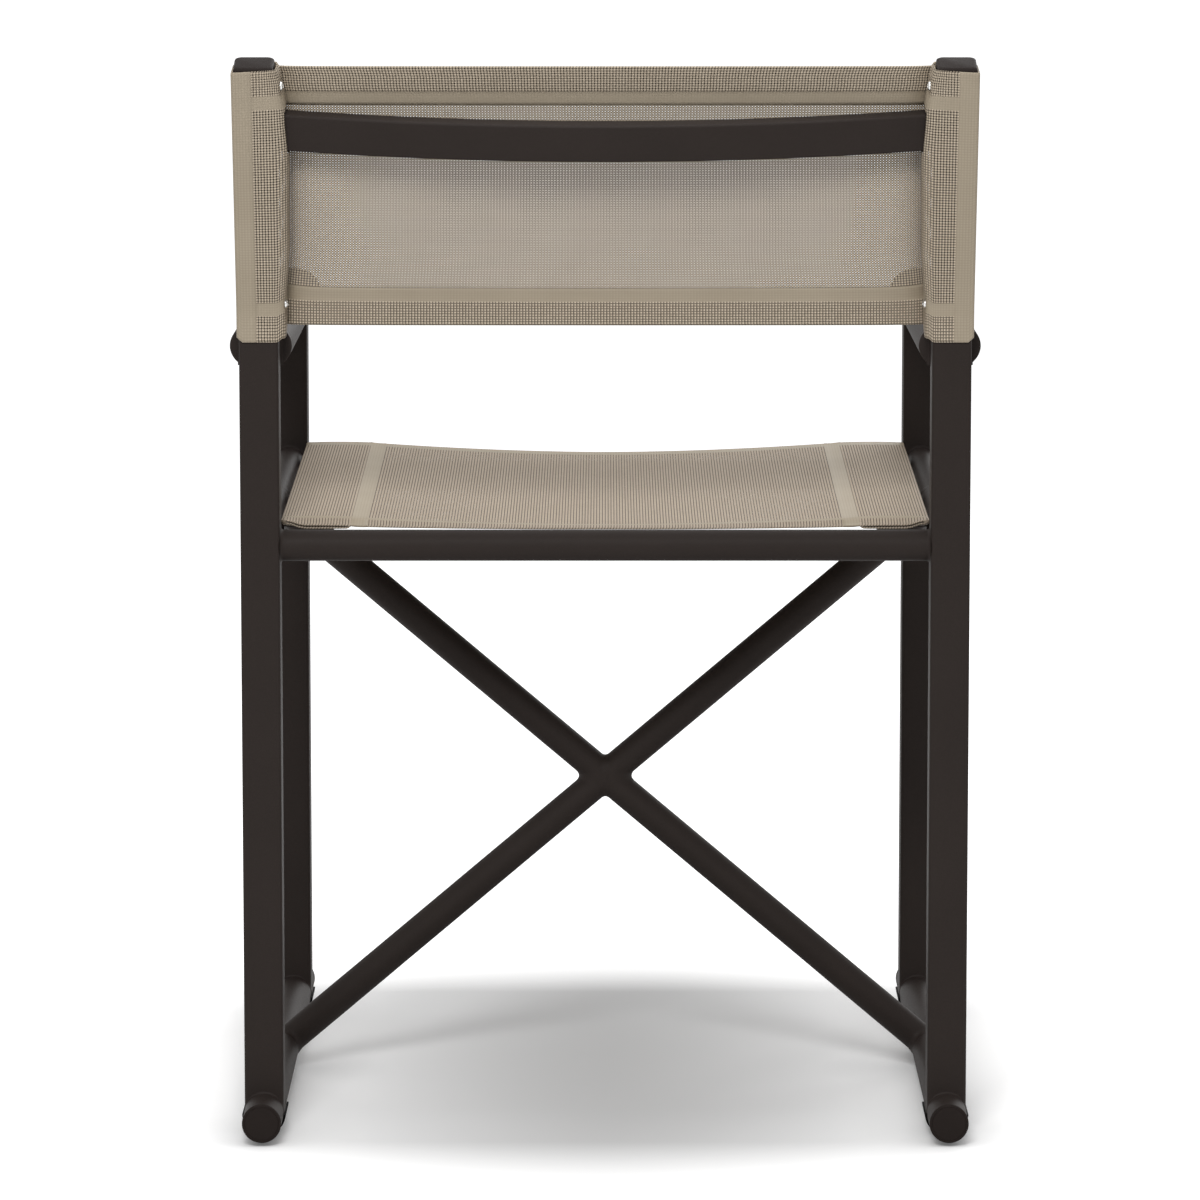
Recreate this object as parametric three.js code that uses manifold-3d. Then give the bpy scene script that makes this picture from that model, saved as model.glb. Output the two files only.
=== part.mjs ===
// Sling patio chair: a rigid welded aluminium frame with a woven seat sling and a woven back sling.
// Millimetres, +Z up. The chair faces -Y and its left, as the sitter has it, is +X. The origin is
// on the floor, under the middle of the chair.

import * as THREE from 'three';
import { mergeVertices } from 'three/addons/utils/BufferGeometryUtils.js';
import Module from 'manifold-3d';

const wasm = await Module();
wasm.setup();

// Fits
const weldGap = 0.3;
const screwPlay = 0.3;
const clothEase = 0.4;
const overrun = 20;

// Posts: square tube. The rear pair leans back above the arms.
const postSize = 30;
const postWall = 2;
const postRounding = 2.5;
const postSpacing = 526;
const postPitch = 440;
const rakeDegrees = 15;
const bendRadius = 80;
const bendClearance = 2;
const upperPostLength = 180;

// Caps in the tops of the rear posts
const postCapThickness = 4;
const postCapChamfer = 2.5;
const postCapPlug = 7;

// Runners: round tube on the floor line, with glides under them
const runnerDiameter = 30;
const runnerWall = 2;
const runnerOverhang = 38;
const runnerCapThickness = 2;
const runnerCapChamfer = 1;
const runnerCapPlug = 14;
const soleThickness = 3;
const glideSide = 1.5;
const glideWrapDegrees = 88;
const glideBrinkDegrees = 55;
const glideFlat = 12;
const glideLength = 45;
const glideSetback = 34;
const glidePegDiameter = 6;
const glidePegReach = 6;

// Arms: oval tube laid on the front posts and butted against the rear ones
const armWidth = 47.5;
const armDepth = 38;
const armWall = 2;
const armHeight = 609;
const armOverhang = 25;
const armCapThickness = 3;
const armCapRounding = 1.5;
const armPlugDepth = 12;

// Seat rails and cross braces: round tube
const railDiameter = 24;
const railWall = 2;
const seatRearHeight = 457.6;
const seatFrontHeight = 470;
const frontRailDrop = 13;

// Back rail: flat tube, bowed to the rear between the posts
const backRailHeight = 28.5;
const backRailThickness = 15;
const backRailWall = 1.5;
const backRailRounding = 2;
const backRailBow = 28;
const backRailDrop = 48.5;

// Cloth: woven mesh of coated yarn
const clothThickness = 1.2;
const clothCorner = 1.5;
const slingTopRise = 1.5;
const sleeveHang = 13;
const sleeveFullness = 9;
const slingBow = 5;
const slotMargin = 3;

// Seat sling, with a batten in a pocket at each side
const slingToRail = 2;
const seatSlingMargin = 3;
const seatSlingRise = 5;
const seatSag = 5;
const weldBand = 12.5;
const battenWidth = 50;
const battenThickness = 3;
const battenSetback = 12;
const bracketThickness = 3;
const bracketLength = 30;
const bracketDrop = 3;
const bracketInset = 45;
const bracketToBrace = 8;

// Screws
const battenScrewDiameter = 5;
const battenScrewHead = 9;
const battenScrewHeadHeight = 2.5;
const battenScrewGrip = 2.5;
const slingScrewDiameter = 4;
const slingScrewHead = 8;
const slingScrewHeadHeight = 2.4;
const slingScrewLength = 10;
const slingScrewMargin = 3;
const slingScrewRise = 17;
const slingScrewSetback = 7;

// Places that follow from the sizes above
const sides = [
	{ name: 'left', sign: 1 },
	{ name: 'right', sign: -1 },
];
const rake = THREE.MathUtils.degToRad(rakeDegrees);
const postHalf = postSize / 2;
const postX = postSpacing / 2;
const rearPostY = -postHalf;
const frontPostY = rearPostY - postPitch;
const runnerHeight = soleThickness + runnerDiameter / 2;
const armTop = armHeight + armDepth / 2;
const bendStart = armTop + bendClearance;
const bendLength = bendRadius * rake;
const postTop = bendStart + bendLength + upperPostLength;
const seatSpan = postPitch - postSize;
const seatTilt = Math.atan2(seatFrontHeight - seatRearHeight, seatSpan);
const braceY = (rearPostY + frontPostY) / 2;
const braceTopHeight = (seatRearHeight + seatFrontHeight) / 2;

// Finishes
const powderCoat = new THREE.MeshStandardMaterial({ color: 0x39342f, roughness: 0.45, metalness: 0.3 });
const capFinish = new THREE.MeshStandardMaterial({ color: 0x37322d, roughness: 0.5, metalness: 0 });
const cloth = new THREE.MeshStandardMaterial({ color: 0xa89b88, roughness: 0.75, metalness: 0 });
const glidePlastic = new THREE.MeshStandardMaterial({ color: 0x141414, roughness: 0.55, metalness: 0 });
const stainless = new THREE.MeshStandardMaterial({ color: 0xb9bab8, roughness: 0.3, metalness: 1 });
const aluminium = new THREE.MeshStandardMaterial({ color: 0xa7a9aa, roughness: 0.45, metalness: 0.9 });

const chair = new THREE.Group();

function addPart(name, geometry, material, parent = chair) {
	const mesh = new THREE.Mesh(geometry, material.clone());
	mesh.name = name;
	parent.add(mesh);
	return mesh;
}

// Booleans
function toSolid(geometry) {
	const bare = geometry.clone();
	bare.deleteAttribute('normal');
	bare.deleteAttribute('uv');
	const merged = mergeVertices(bare);
	const mesh = new wasm.Mesh({
		numProp: 3,
		vertProperties: new Float32Array(merged.attributes.position.array),
		triVerts: new Uint32Array(merged.index.array),
	});
	return new wasm.Manifold(mesh);
}

function toGeometry(solid) {
	const { vertProperties, triVerts } = solid.getMesh();
	const geometry = new THREE.BufferGeometry();
	geometry.setAttribute('position', new THREE.BufferAttribute(vertProperties, 3));
	geometry.setIndex(new THREE.BufferAttribute(triVerts, 1));
	geometry.computeVertexNormals();
	return geometry;
}

function cut(geometry, ...tools) {
	const solid = tools.reduce((left, tool) => left.subtract(toSolid(tool)), toSolid(geometry));
	return toGeometry(solid);
}

function join(geometry, ...others) {
	const solid = others.reduce((whole, other) => whole.add(toSolid(other)), toSolid(geometry));
	return toGeometry(solid);
}

// Outlines. Small holes and pegs take eight sides.
const smallRound = { curveSegments: 4 };

function disc(diameter) {
	return new THREE.Shape().absarc(0, 0, diameter / 2, 0, 2 * Math.PI);
}

function oval(width, height) {
	return new THREE.Shape().absellipse(0, 0, width / 2, height / 2, 0, 2 * Math.PI);
}

function roundedSquare(size, rounding) {
	const flat = size / 2 - rounding;
	return new THREE.Shape()
		.absarc(flat, flat, rounding, 0, Math.PI / 2)
		.absarc(-flat, flat, rounding, Math.PI / 2, Math.PI)
		.absarc(-flat, -flat, rounding, Math.PI, 1.5 * Math.PI)
		.absarc(flat, -flat, rounding, 1.5 * Math.PI, 2 * Math.PI);
}

function hollow(outline, bore) {
	outline.holes.push(bore);
	return outline;
}

// Its points may be given in either turn. An outline with holes has to run anticlockwise.
function polygon(points) {
	const corners = points.map(([x, y]) => new THREE.Vector2(x, y));
	return new THREE.Shape(THREE.ShapeUtils.isClockWise(corners) ? corners.reverse() : corners);
}

// Extrusions along the three directions of the chair
function extrude(outline, length, options = {}) {
	return new THREE.ExtrudeGeometry(outline, { depth: length, bevelEnabled: false, ...options });
}

function turn(geometry, xAxis, yAxis, zAxis) {
	return geometry.applyMatrix4(new THREE.Matrix4().makeBasis(xAxis, yAxis, zAxis));
}

const across = new THREE.Vector3(1, 0, 0);
const forward = new THREE.Vector3(0, -1, 0);
const upward = new THREE.Vector3(0, 0, 1);

// In the outline x is across and y is up; it runs from a rear place towards the front.
function extrudeForward(outline, rearY, frontY, options) {
	return turn(extrude(outline, rearY - frontY, options), across, upward, forward).translate(0, rearY, 0);
}

function extrudeUp(outline, fromZ, toZ, options) {
	return extrude(outline, toZ - fromZ, options).translate(0, 0, fromZ);
}

function rodBetween(outline, start, end) {
	const direction = end.clone().sub(start);
	const geometry = extrude(outline, direction.length());
	geometry.applyQuaternion(new THREE.Quaternion().setFromUnitVectors(upward, direction.normalize()));
	return geometry.translate(start.x, start.y, start.z);
}

// The centre line of a rear post, by the length along it from the floor
function postAngle(length) {
	return rake * THREE.MathUtils.clamp((length - bendStart) / bendLength, 0, 1);
}

function postPoint(length) {
	const angle = postAngle(length);
	const straightUp = Math.min(length, bendStart);
	const leaning = Math.max(length - bendStart - bendLength, 0);
	const back = bendRadius * (1 - Math.cos(angle)) + leaning * Math.sin(angle);
	const up = straightUp + bendRadius * Math.sin(angle) + leaning * Math.cos(angle);
	return new THREE.Vector3(0, rearPostY + back, up);
}

// Its steps stand only at the ends and round the bend. An outline swept along it has x forward
// and y across.
class PostLine extends THREE.Curve {

	constructor(fromLength, toLength) {
		super();
		const bendShares = [0, 0.25, 0.5, 0.75, 1];
		const bend = bendShares.map((share) => bendStart + share * bendLength);
		const inside = bend.filter((length) => length > fromLength && length < toLength);
		this.stations = [fromLength, ...inside, toLength];
	}

	lengthAt(share) {
		const place = share * (this.stations.length - 1);
		const index = Math.min(Math.floor(place), this.stations.length - 2);
		return THREE.MathUtils.lerp(this.stations[index], this.stations[index + 1], place - index);
	}

	getPoint(share, target = new THREE.Vector3()) {
		return target.copy(postPoint(this.lengthAt(share)));
	}

	getPointAt(share, target) {
		return this.getPoint(share, target);
	}

	getTangentAt(share, target = new THREE.Vector3()) {
		const angle = postAngle(this.lengthAt(share));
		return target.set(0, Math.sin(angle), Math.cos(angle));
	}

}

function sweepUpPost(outline, fromLength, toLength, options = {}) {
	const line = new PostLine(fromLength, toLength);
	const steps = line.stations.length - 1;
	return new THREE.ExtrudeGeometry(outline, { extrudePath: line, steps, ...options });
}

// Moves something made round the origin, with +Z up the post, to a length along the post line
function ontoPost(geometry, length, x = 0) {
	const point = postPoint(length);
	return geometry.rotateX(-postAngle(length)).translate(x, point.y, point.z);
}

// A turned piece with its head above the origin and its shank below, on the Z axis
function screwGeometry(diameter, headDiameter, headHeight, length) {
	const head = headDiameter / 2;
	const shank = diameter / 2;
	const profile = new THREE.Path()
		.moveTo(0, -length)
		.lineTo(shank, -length)
		.lineTo(shank, 0)
		.lineTo(head, 0)
		.lineTo(head, headHeight / 3)
		.quadraticCurveTo(head, headHeight, 0, headHeight);
	return new THREE.LatheGeometry(profile.getPoints(2), 8).rotateX(Math.PI / 2);
}

// The screws that pin the back sling to the inner faces of the rear posts
const upperScrewDrop = postCapPlug + slingScrewMargin + slingScrewDiameter / 2;
const slingScrewLengths = [armTop + slingScrewRise, postTop - upperScrewDrop];
const slingScrewSeat = postX - postHalf - clothEase - clothThickness - screwPlay;

function ontoInnerFace(geometry, sign, length) {
	geometry.rotateY(-sign * Math.PI / 2).translate(0, slingScrewSetback, 0);
	return ontoPost(geometry, length, sign * slingScrewSeat);
}

function slingScrewHole(sign, length) {
	const outline = disc(slingScrewDiameter + 2 * screwPlay);
	return ontoInnerFace(extrudeUp(outline, -slingScrewLength - overrun, overrun, smallRound), sign, length);
}

// Lines of the round tubes
const sideRailEnds = (sign) => [
	new THREE.Vector3(sign * postX, -postSize, seatRearHeight),
	new THREE.Vector3(sign * postX, -postPitch, seatFrontHeight),
];
const lowerBraceEnd = (sign) => new THREE.Vector3(sign * postX, braceY, runnerHeight);
const upperBraceEnd = (sign) => new THREE.Vector3(sign * postX, braceY, braceTopHeight);
const braceCrossing = new THREE.Vector3(0, braceY, (runnerHeight + braceTopHeight) / 2);

function runnerCutter(sign) {
	const bore = disc(runnerDiameter + 2 * weldGap);
	const runner = extrudeForward(bore, runnerOverhang + overrun, -postPitch - postSize - overrun);
	return runner.translate(sign * postX, 0, runnerHeight);
}

function sideRailCutter(sign) {
	const [rear, front] = sideRailEnds(sign);
	return rodBetween(disc(railDiameter + 2 * weldGap), rear, front);
}

// Runners, their end caps and the glides under them
const runnerRear = runnerOverhang;
const runnerFront = -postPitch - postSize - runnerOverhang;
const runnerTubeInset = runnerCapThickness + weldGap;
const glideMiddles = {
	rear: runnerRear - glideSetback - glideLength / 2,
	front: runnerFront + glideSetback + glideLength / 2,
};

function makeRunner(sign) {
	const section = hollow(disc(runnerDiameter), disc(runnerDiameter - 2 * runnerWall));
	const tube = extrudeForward(section, runnerRear - runnerTubeInset, runnerFront + runnerTubeInset);
	const pegHoles = Object.values(glideMiddles).map((middle) => {
		const hole = extrudeUp(disc(glidePegDiameter + 2 * weldGap), -runnerDiameter, 0, smallRound);
		return hole.translate(0, middle, 0);
	});
	return cut(tube, ...pegHoles).translate(sign * postX, 0, runnerHeight);
}

// Made facing +Z, with its plug towards -Z
function runnerCap() {
	const radius = runnerDiameter / 2;
	const plug = radius - runnerWall - weldGap;
	const bore = plug - runnerWall;
	const profile = [
		[0, -runnerCapThickness],
		[bore, -runnerCapThickness],
		[bore, -runnerCapPlug],
		[plug, -runnerCapPlug],
		[plug, -runnerCapThickness],
		[radius, -runnerCapThickness],
		[radius, -runnerCapChamfer],
		[radius - runnerCapChamfer, 0],
		[0, 0],
	];
	return new THREE.LatheGeometry(profile.map(([x, y]) => new THREE.Vector2(x, y)), 16).rotateX(Math.PI / 2);
}

// A saddle that cups the runner's underside and narrows to a flat sole, with a peg up into the tube
function makeGlide(middle) {
	const bore = runnerDiameter / 2 + weldGap;
	const outer = bore + glideSide;
	const flat = glideFlat / 2;
	const wrap = THREE.MathUtils.degToRad(glideWrapDegrees);
	const brink = THREE.MathUtils.degToRad(glideBrinkDegrees);
	const down = 1.5 * Math.PI;
	const section = new THREE.Shape()
		.moveTo(-flat, -runnerHeight)
		.lineTo(flat, -runnerHeight)
		.absarc(0, 0, outer, down + brink, down + wrap, false)
		.absarc(0, 0, bore, down + wrap, down - wrap, true)
		.absarc(0, 0, outer, down - wrap, down - brink, false);
	const rear = middle + glideLength / 2;
	const saddle = extrudeForward(section, rear, rear - glideLength, { curveSegments: 8 });
	const pegTop = glidePegReach - runnerDiameter / 2;
	const peg = extrudeUp(disc(glidePegDiameter), -(runnerDiameter + soleThickness) / 2, pegTop, smallRound);
	return join(saddle, peg.translate(0, middle, 0));
}

for (const { name, sign } of sides) {
	addPart(`runner_${name}`, makeRunner(sign), powderCoat);
	for (const [end, middle] of Object.entries(glideMiddles)) {
		const glide = makeGlide(middle).translate(sign * postX, 0, runnerHeight);
		addPart(`glide_${name}_${end}`, glide, glidePlastic);
	}
	const rearCap = runnerCap().rotateX(-Math.PI / 2).translate(sign * postX, runnerRear, runnerHeight);
	addPart(`runner_cap_${name}_rear`, rearCap, capFinish);
	const frontCap = runnerCap().rotateX(Math.PI / 2).translate(sign * postX, runnerFront, runnerHeight);
	addPart(`runner_cap_${name}_front`, frontCap, capFinish);
}

// Posts, coped over the runners
function postSection() {
	const bore = roundedSquare(postSize - 2 * postWall, postRounding - postWall);
	return hollow(roundedSquare(postSize, postRounding), bore);
}

function armCutter() {
	const outline = oval(armWidth + 2 * weldGap, armDepth + 2 * weldGap);
	return extrudeForward(outline, -postSize, -postPitch - postSize - armOverhang).translate(0, 0, armHeight);
}

for (const { name, sign } of sides) {
	const rearTube = sweepUpPost(postSection(), runnerHeight, postTop, { curveSegments: 3 });
	const rearHoles = slingScrewLengths.map((length) => slingScrewHole(sign, length));
	const rearPost = cut(rearTube.translate(sign * postX, 0, 0), runnerCutter(sign), ...rearHoles);
	addPart(`rear_post_${name}`, rearPost, powderCoat);

	const frontTube = extrudeUp(postSection(), runnerHeight, armHeight, { curveSegments: 3 });
	frontTube.translate(0, frontPostY, 0);
	const frontPost = cut(cut(frontTube, armCutter()).translate(sign * postX, 0, 0), runnerCutter(sign));
	addPart(`front_post_${name}`, frontPost, powderCoat);
}

// Post caps, made round the origin with the top of the tube at the origin
function makePostCap() {
	const bevel = {
		bevelEnabled: true,
		bevelSize: postCapChamfer,
		bevelOffset: -postCapChamfer,
		bevelThickness: postCapChamfer,
		bevelSegments: 2,
		curveSegments: 2,
	};
	const outline = roundedSquare(postSize, postRounding + postCapChamfer);
	const block = extrudeUp(outline, -postCapChamfer, postCapThickness - postCapChamfer, bevel);
	const below = extrudeUp(roundedSquare(postSize + overrun, postRounding), -overrun, 0);
	const plugSize = postSize - 2 * postWall - 2 * weldGap;
	const plugSection = roundedSquare(plugSize, postRounding);
	plugSection.holes.push(roundedSquare(plugSize - 2 * postWall, postRounding / 2));
	const plug = extrudeUp(plugSection, -postCapPlug, postCapThickness / 2, { curveSegments: 2 });
	return join(cut(block, below), plug);
}

for (const { name, sign } of sides) {
	const cap = makePostCap().translate(0, 0, weldGap);
	addPart(`post_cap_${name}`, ontoPost(cap, postTop, sign * postX), capFinish);
}

// Arms, with a closed plate at each end
const armRear = -postSize - weldGap;
const armFront = -postPitch - postSize - armOverhang;
const armTubeInset = armCapThickness + weldGap;

// Made facing +Z, with its plug towards -Z
function armCap() {
	const bevel = {
		bevelEnabled: true,
		bevelSize: armCapRounding,
		bevelOffset: -armCapRounding,
		bevelThickness: armCapRounding,
		bevelSegments: 1,
	};
	const plate = extrudeUp(oval(armWidth, armDepth), -armCapThickness, -armCapRounding, bevel);
	const below = extrudeUp(oval(armWidth + overrun, armDepth + overrun), -overrun, -armCapThickness);
	const plugWidth = armWidth - 2 * armWall - 2 * weldGap;
	const plugDepth = armDepth - 2 * armWall - 2 * weldGap;
	const section = hollow(oval(plugWidth, plugDepth), oval(plugWidth - 2 * armWall, plugDepth - 2 * armWall));
	const plug = extrudeUp(section, -armPlugDepth, -armCapThickness / 2);
	return join(cut(plate, below), plug);
}

for (const { name, sign } of sides) {
	const section = hollow(oval(armWidth, armDepth), oval(armWidth - 2 * armWall, armDepth - 2 * armWall));
	const tube = extrudeForward(section, armRear - armTubeInset, armFront + armTubeInset);
	addPart(`arm_${name}`, tube.translate(sign * postX, 0, armHeight), powderCoat);
	const rearCap = armCap().rotateX(-Math.PI / 2).translate(sign * postX, armRear, armHeight);
	addPart(`arm_cap_${name}_rear`, rearCap, capFinish);
	const frontCap = armCap().rotateX(Math.PI / 2).translate(sign * postX, armFront, armHeight);
	addPart(`arm_cap_${name}_front`, frontCap, capFinish);
}

// Seat rails
function railSection() {
	return hollow(disc(railDiameter), disc(railDiameter - 2 * railWall));
}

for (const { name, sign } of sides) {
	const [rear, front] = sideRailEnds(sign);
	const run = front.clone().sub(rear).normalize();
	const endGap = weldGap + Math.sin(seatTilt) * railDiameter / 2;
	rear.addScaledVector(run, endGap);
	front.addScaledVector(run, -endGap);
	const rail = rodBetween(railSection(), rear, front);
	addPart(`seat_side_rail_${name}`, rail, powderCoat);
}

const crossRailEnd = postX - postHalf - weldGap;
const rearRail = rodBetween(
	railSection(),
	new THREE.Vector3(-crossRailEnd, rearPostY, seatRearHeight),
	new THREE.Vector3(crossRailEnd, rearPostY, seatRearHeight),
);
addPart('seat_rear_rail', rearRail, powderCoat);
const frontRailHeight = seatFrontHeight - frontRailDrop;
const frontRail = rodBetween(
	railSection(),
	new THREE.Vector3(-crossRailEnd, frontPostY, frontRailHeight),
	new THREE.Vector3(crossRailEnd, frontPostY, frontRailHeight),
);
addPart('seat_front_rail', frontRail, powderCoat);

// Cross brace: one whole tube, and two halves coped against it where they cross
const wholeBrace = rodBetween(railSection(), lowerBraceEnd(1), upperBraceEnd(-1));
addPart('cross_brace_whole', cut(wholeBrace, runnerCutter(1), sideRailCutter(-1)), powderCoat);
const wholeBraceCutter = rodBetween(disc(railDiameter + 2 * weldGap), lowerBraceEnd(1), upperBraceEnd(-1));
const lowerHalf = rodBetween(railSection(), lowerBraceEnd(-1), braceCrossing);
addPart('cross_brace_lower_half', cut(lowerHalf, runnerCutter(-1), wholeBraceCutter), powderCoat);
const upperHalf = rodBetween(railSection(), braceCrossing, upperBraceEnd(1));
addPart('cross_brace_upper_half', cut(upperHalf, wholeBraceCutter, sideRailCutter(1)), powderCoat);

// Back rail. In its outline x is across and y is to the rear; its ends meet the posts squarely.
const backRailLength = postTop - backRailDrop;

function backRailOutline(thickness, endX) {
	const radius = (endX ** 2 + backRailBow ** 2) / (2 * backRailBow);
	const centreY = backRailBow - radius;
	const outer = radius + thickness / 2;
	const inner = radius - thickness / 2;
	const outerAngle = Math.asin(endX / outer);
	const innerAngle = Math.asin(endX / inner);
	return new THREE.Shape()
		.absarc(0, centreY, outer, Math.PI / 2 - outerAngle, Math.PI / 2 + outerAngle)
		.absarc(0, centreY, inner, Math.PI / 2 + innerAngle, Math.PI / 2 - innerAngle, true);
}

function makeBackRail() {
	const bevel = {
		bevelEnabled: true,
		bevelSize: backRailRounding,
		bevelOffset: -backRailRounding,
		bevelThickness: backRailRounding,
		bevelSegments: 2,
		curveSegments: 8,
	};
	const flat = backRailHeight / 2 - backRailRounding;
	const outside = extrudeUp(backRailOutline(backRailThickness, crossRailEnd), -flat, flat, bevel);
	const boreHalf = backRailHeight / 2 - backRailWall;
	const boreThickness = backRailThickness - 2 * backRailWall;
	const boreOutline = backRailOutline(boreThickness, crossRailEnd);
	const bore = extrudeUp(boreOutline, -boreHalf, boreHalf, { curveSegments: 8 });
	bore.scale(1 + overrun / postSpacing, 1, 1);
	return ontoPost(cut(outside, bore), backRailLength);
}

addPart('back_rail', makeBackRail(), powderCoat);

// Back sling: a panel in front of the rear posts, with a sleeve round each. In its outline x is
// forward and y is across.
const sleeveInside = postHalf + clothEase;
const sleeveOutside = sleeveInside + clothThickness;

function backSlingOutline() {
	const fullX = postX - sleeveOutside - sleeveFullness;
	const panelShares = [1, 0.75, 0.5, 0.25, 0, -0.25, -0.5, -0.75, -1];
	const bowed = (face, share) => [face - slingBow * (1 - share ** 2), share * fullX];
	const corner = sleeveOutside - clothCorner;
	const sleeve = (sign) => [
		[sleeveOutside, sign * (postX + corner)],
		[corner, sign * (postX + sleeveOutside)],
		[-corner, sign * (postX + sleeveOutside)],
		[-sleeveOutside, sign * (postX + corner)],
		[-sleeveOutside, sign * (postX - corner)],
		[-corner, sign * (postX - sleeveOutside)],
		[0, sign * (postX - sleeveOutside)],
	];
	const pocket = (sign) => [
		[sleeveInside, sign * (postX + sleeveInside)],
		[-sleeveInside, sign * (postX + sleeveInside)],
		[-sleeveInside, sign * (postX - sleeveInside)],
		[0, sign * (postX - sleeveInside)],
		[sleeveInside, sign * (fullX + clothThickness)],
	];
	const outline = polygon([
		...panelShares.map((share) => bowed(sleeveOutside, -share)),
		...sleeve(1),
		...panelShares.map((share) => bowed(sleeveInside, share)),
		...sleeve(-1).reverse(),
	]);
	outline.holes.push(new THREE.Path(polygon(pocket(1)).getPoints()));
	outline.holes.push(new THREE.Path(polygon(pocket(-1)).getPoints()));
	return outline;
}

// Everything below a line that climbs from the back hem to just over the arms
function underHem() {
	const depth = 2 * sleeveOutside;
	const climb = Math.atan2(sleeveHang + bendClearance, depth);
	const length = depth + 2 * overrun;
	const block = new THREE.BoxGeometry(postSpacing + 2 * postSize, length, 2 * overrun);
	const middle = armTop + (bendClearance - sleeveHang) / 2;
	return block.translate(0, 0, -overrun).rotateX(-climb).translate(0, rearPostY, middle);
}

// The opening in a sleeve that lets the back rail through to the post
function railSlot(sign) {
	const thickness = backRailThickness + 2 * slotMargin;
	const height = backRailHeight + 2 * slotMargin;
	const slot = new THREE.BoxGeometry(postSize, thickness, height);
	return ontoPost(slot, backRailLength, sign * (postX - postSize));
}

const slingStart = armTop - sleeveHang - overrun / 2;
const slingWhole = sweepUpPost(backSlingOutline(), slingStart, postTop + slingTopRise);
const slingOpenings = sides.flatMap(({ sign }) => [
	railSlot(sign),
	...slingScrewLengths.map((length) => slingScrewHole(sign, length)),
]);
addPart('back_sling', cut(slingWhole, underHem(), ...slingOpenings), cloth);

for (const { name, sign } of sides) {
	for (const [index, end] of ['lower', 'upper'].entries()) {
		const screw = screwGeometry(slingScrewDiameter, slingScrewHead, slingScrewHeadHeight, slingScrewLength);
		const placed = ontoInnerFace(screw, sign, slingScrewLengths[index]);
		addPart(`sling_screw_${name}_${end}`, placed, stainless);
	}
}

// Seat: everything on the side rails is made level in its own group, which tilts with them. Its
// origin is on the line of the rails, at the rear posts.
const seat = new THREE.Group();
seat.position.set(0, -postSize, seatRearHeight);
seat.rotation.x = -seatTilt;
chair.add(seat);

const seatRun = seatSpan / Math.cos(seatTilt);
const seatSurface = railDiameter / 2 + seatSlingRise;
const pocketHeight = battenThickness + 2 * clothEase + 2 * clothThickness;
const pocketUnder = seatSurface - pocketHeight;
const foldX = postX - railDiameter / 2 - slingToRail;
const battenOuterX = foldX - clothThickness - clothEase;
const battenInnerX = battenOuterX - battenWidth;
const battenX = (battenOuterX + battenInnerX) / 2;
const pocketInnerX = battenInnerX - battenThickness;
const bandInnerX = pocketInnerX - weldBand;
const bracketPlaces = {
	rear: -bracketInset,
	middle: (railDiameter + bracketLength - seatRun) / 2 + bracketToBrace,
	front: bracketInset - seatRun,
};

// In the outline x is across and y is up.
function seatSlingOutline() {
	const sagShares = [1, 0.8, 0.6, 0.4, 0.2, 0, -0.2, -0.4, -0.6, -0.8, -1];
	const sagged = (face, share) => [share * bandInnerX, face - seatSag * (1 - share ** 2)];
	const edge = (sign) => [
		[sign * (foldX - clothCorner), seatSurface],
		[sign * foldX, seatSurface - clothCorner],
		[sign * foldX, pocketUnder + clothCorner],
		[sign * (foldX - clothCorner), pocketUnder],
		[sign * (battenInnerX - clothThickness), pocketUnder],
		[sign * pocketInnerX, seatSurface - 2 * clothThickness],
		[sign * bandInnerX, seatSurface - 2 * clothThickness],
	];
	const pocket = (sign) => [
		[sign * (foldX - clothThickness), seatSurface - clothThickness],
		[sign * (foldX - clothThickness), pocketUnder + clothThickness],
		[sign * (battenInnerX - clothEase), pocketUnder + clothThickness],
		[sign * pocketInnerX, seatSurface - clothThickness],
	];
	const outline = polygon([
		...sagShares.map((share) => sagged(seatSurface, -share)),
		...edge(1),
		...sagShares.map((share) => sagged(seatSurface - clothThickness, share)),
		...edge(-1).reverse(),
	]);
	outline.holes.push(new THREE.Path(polygon(pocket(1)).getPoints()));
	outline.holes.push(new THREE.Path(polygon(pocket(-1)).getPoints()));
	return outline;
}

function battenScrewHole(x, y) {
	return new THREE.Path().absarc(x, y, battenScrewDiameter / 2 + screwPlay, 0, 2 * Math.PI);
}

const seatSlingWhole = extrudeForward(seatSlingOutline(), -seatSlingMargin, seatSlingMargin - seatRun);
const clothHoles = sides.flatMap(({ sign }) => Object.values(bracketPlaces).map((place) => {
	const outline = disc(battenScrewDiameter + 2 * screwPlay);
	const hole = extrudeUp(outline, pocketUnder - overrun, pocketUnder + pocketHeight / 2, smallRound);
	return hole.translate(sign * battenX, place, 0);
}));
addPart('seat_sling', cut(seatSlingWhole, ...clothHoles), cloth, seat);

function plate(left, right, rear, front) {
	return polygon([[left, front], [right, front], [right, rear], [left, rear]]);
}

const battenUnder = pocketUnder + clothThickness + clothEase;
const bracketTop = pocketUnder - weldGap;

// An angle: its flange is welded to the rail's inner side, and its plate holds the batten up.
function bracketOutline(sign) {
	const flangeOuter = postX - railDiameter / 2 - weldGap;
	const flangeInner = flangeOuter - bracketThickness;
	const plateUnder = bracketTop - bracketThickness;
	const plateInner = battenX - bracketLength / 2;
	const corners = [
		[plateInner, plateUnder],
		[flangeInner, plateUnder],
		[flangeInner, -bracketDrop],
		[flangeOuter, -bracketDrop],
		[flangeOuter, bracketTop],
		[plateInner, bracketTop],
	];
	return polygon(corners.map(([x, y]) => [sign * x, y]));
}

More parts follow.
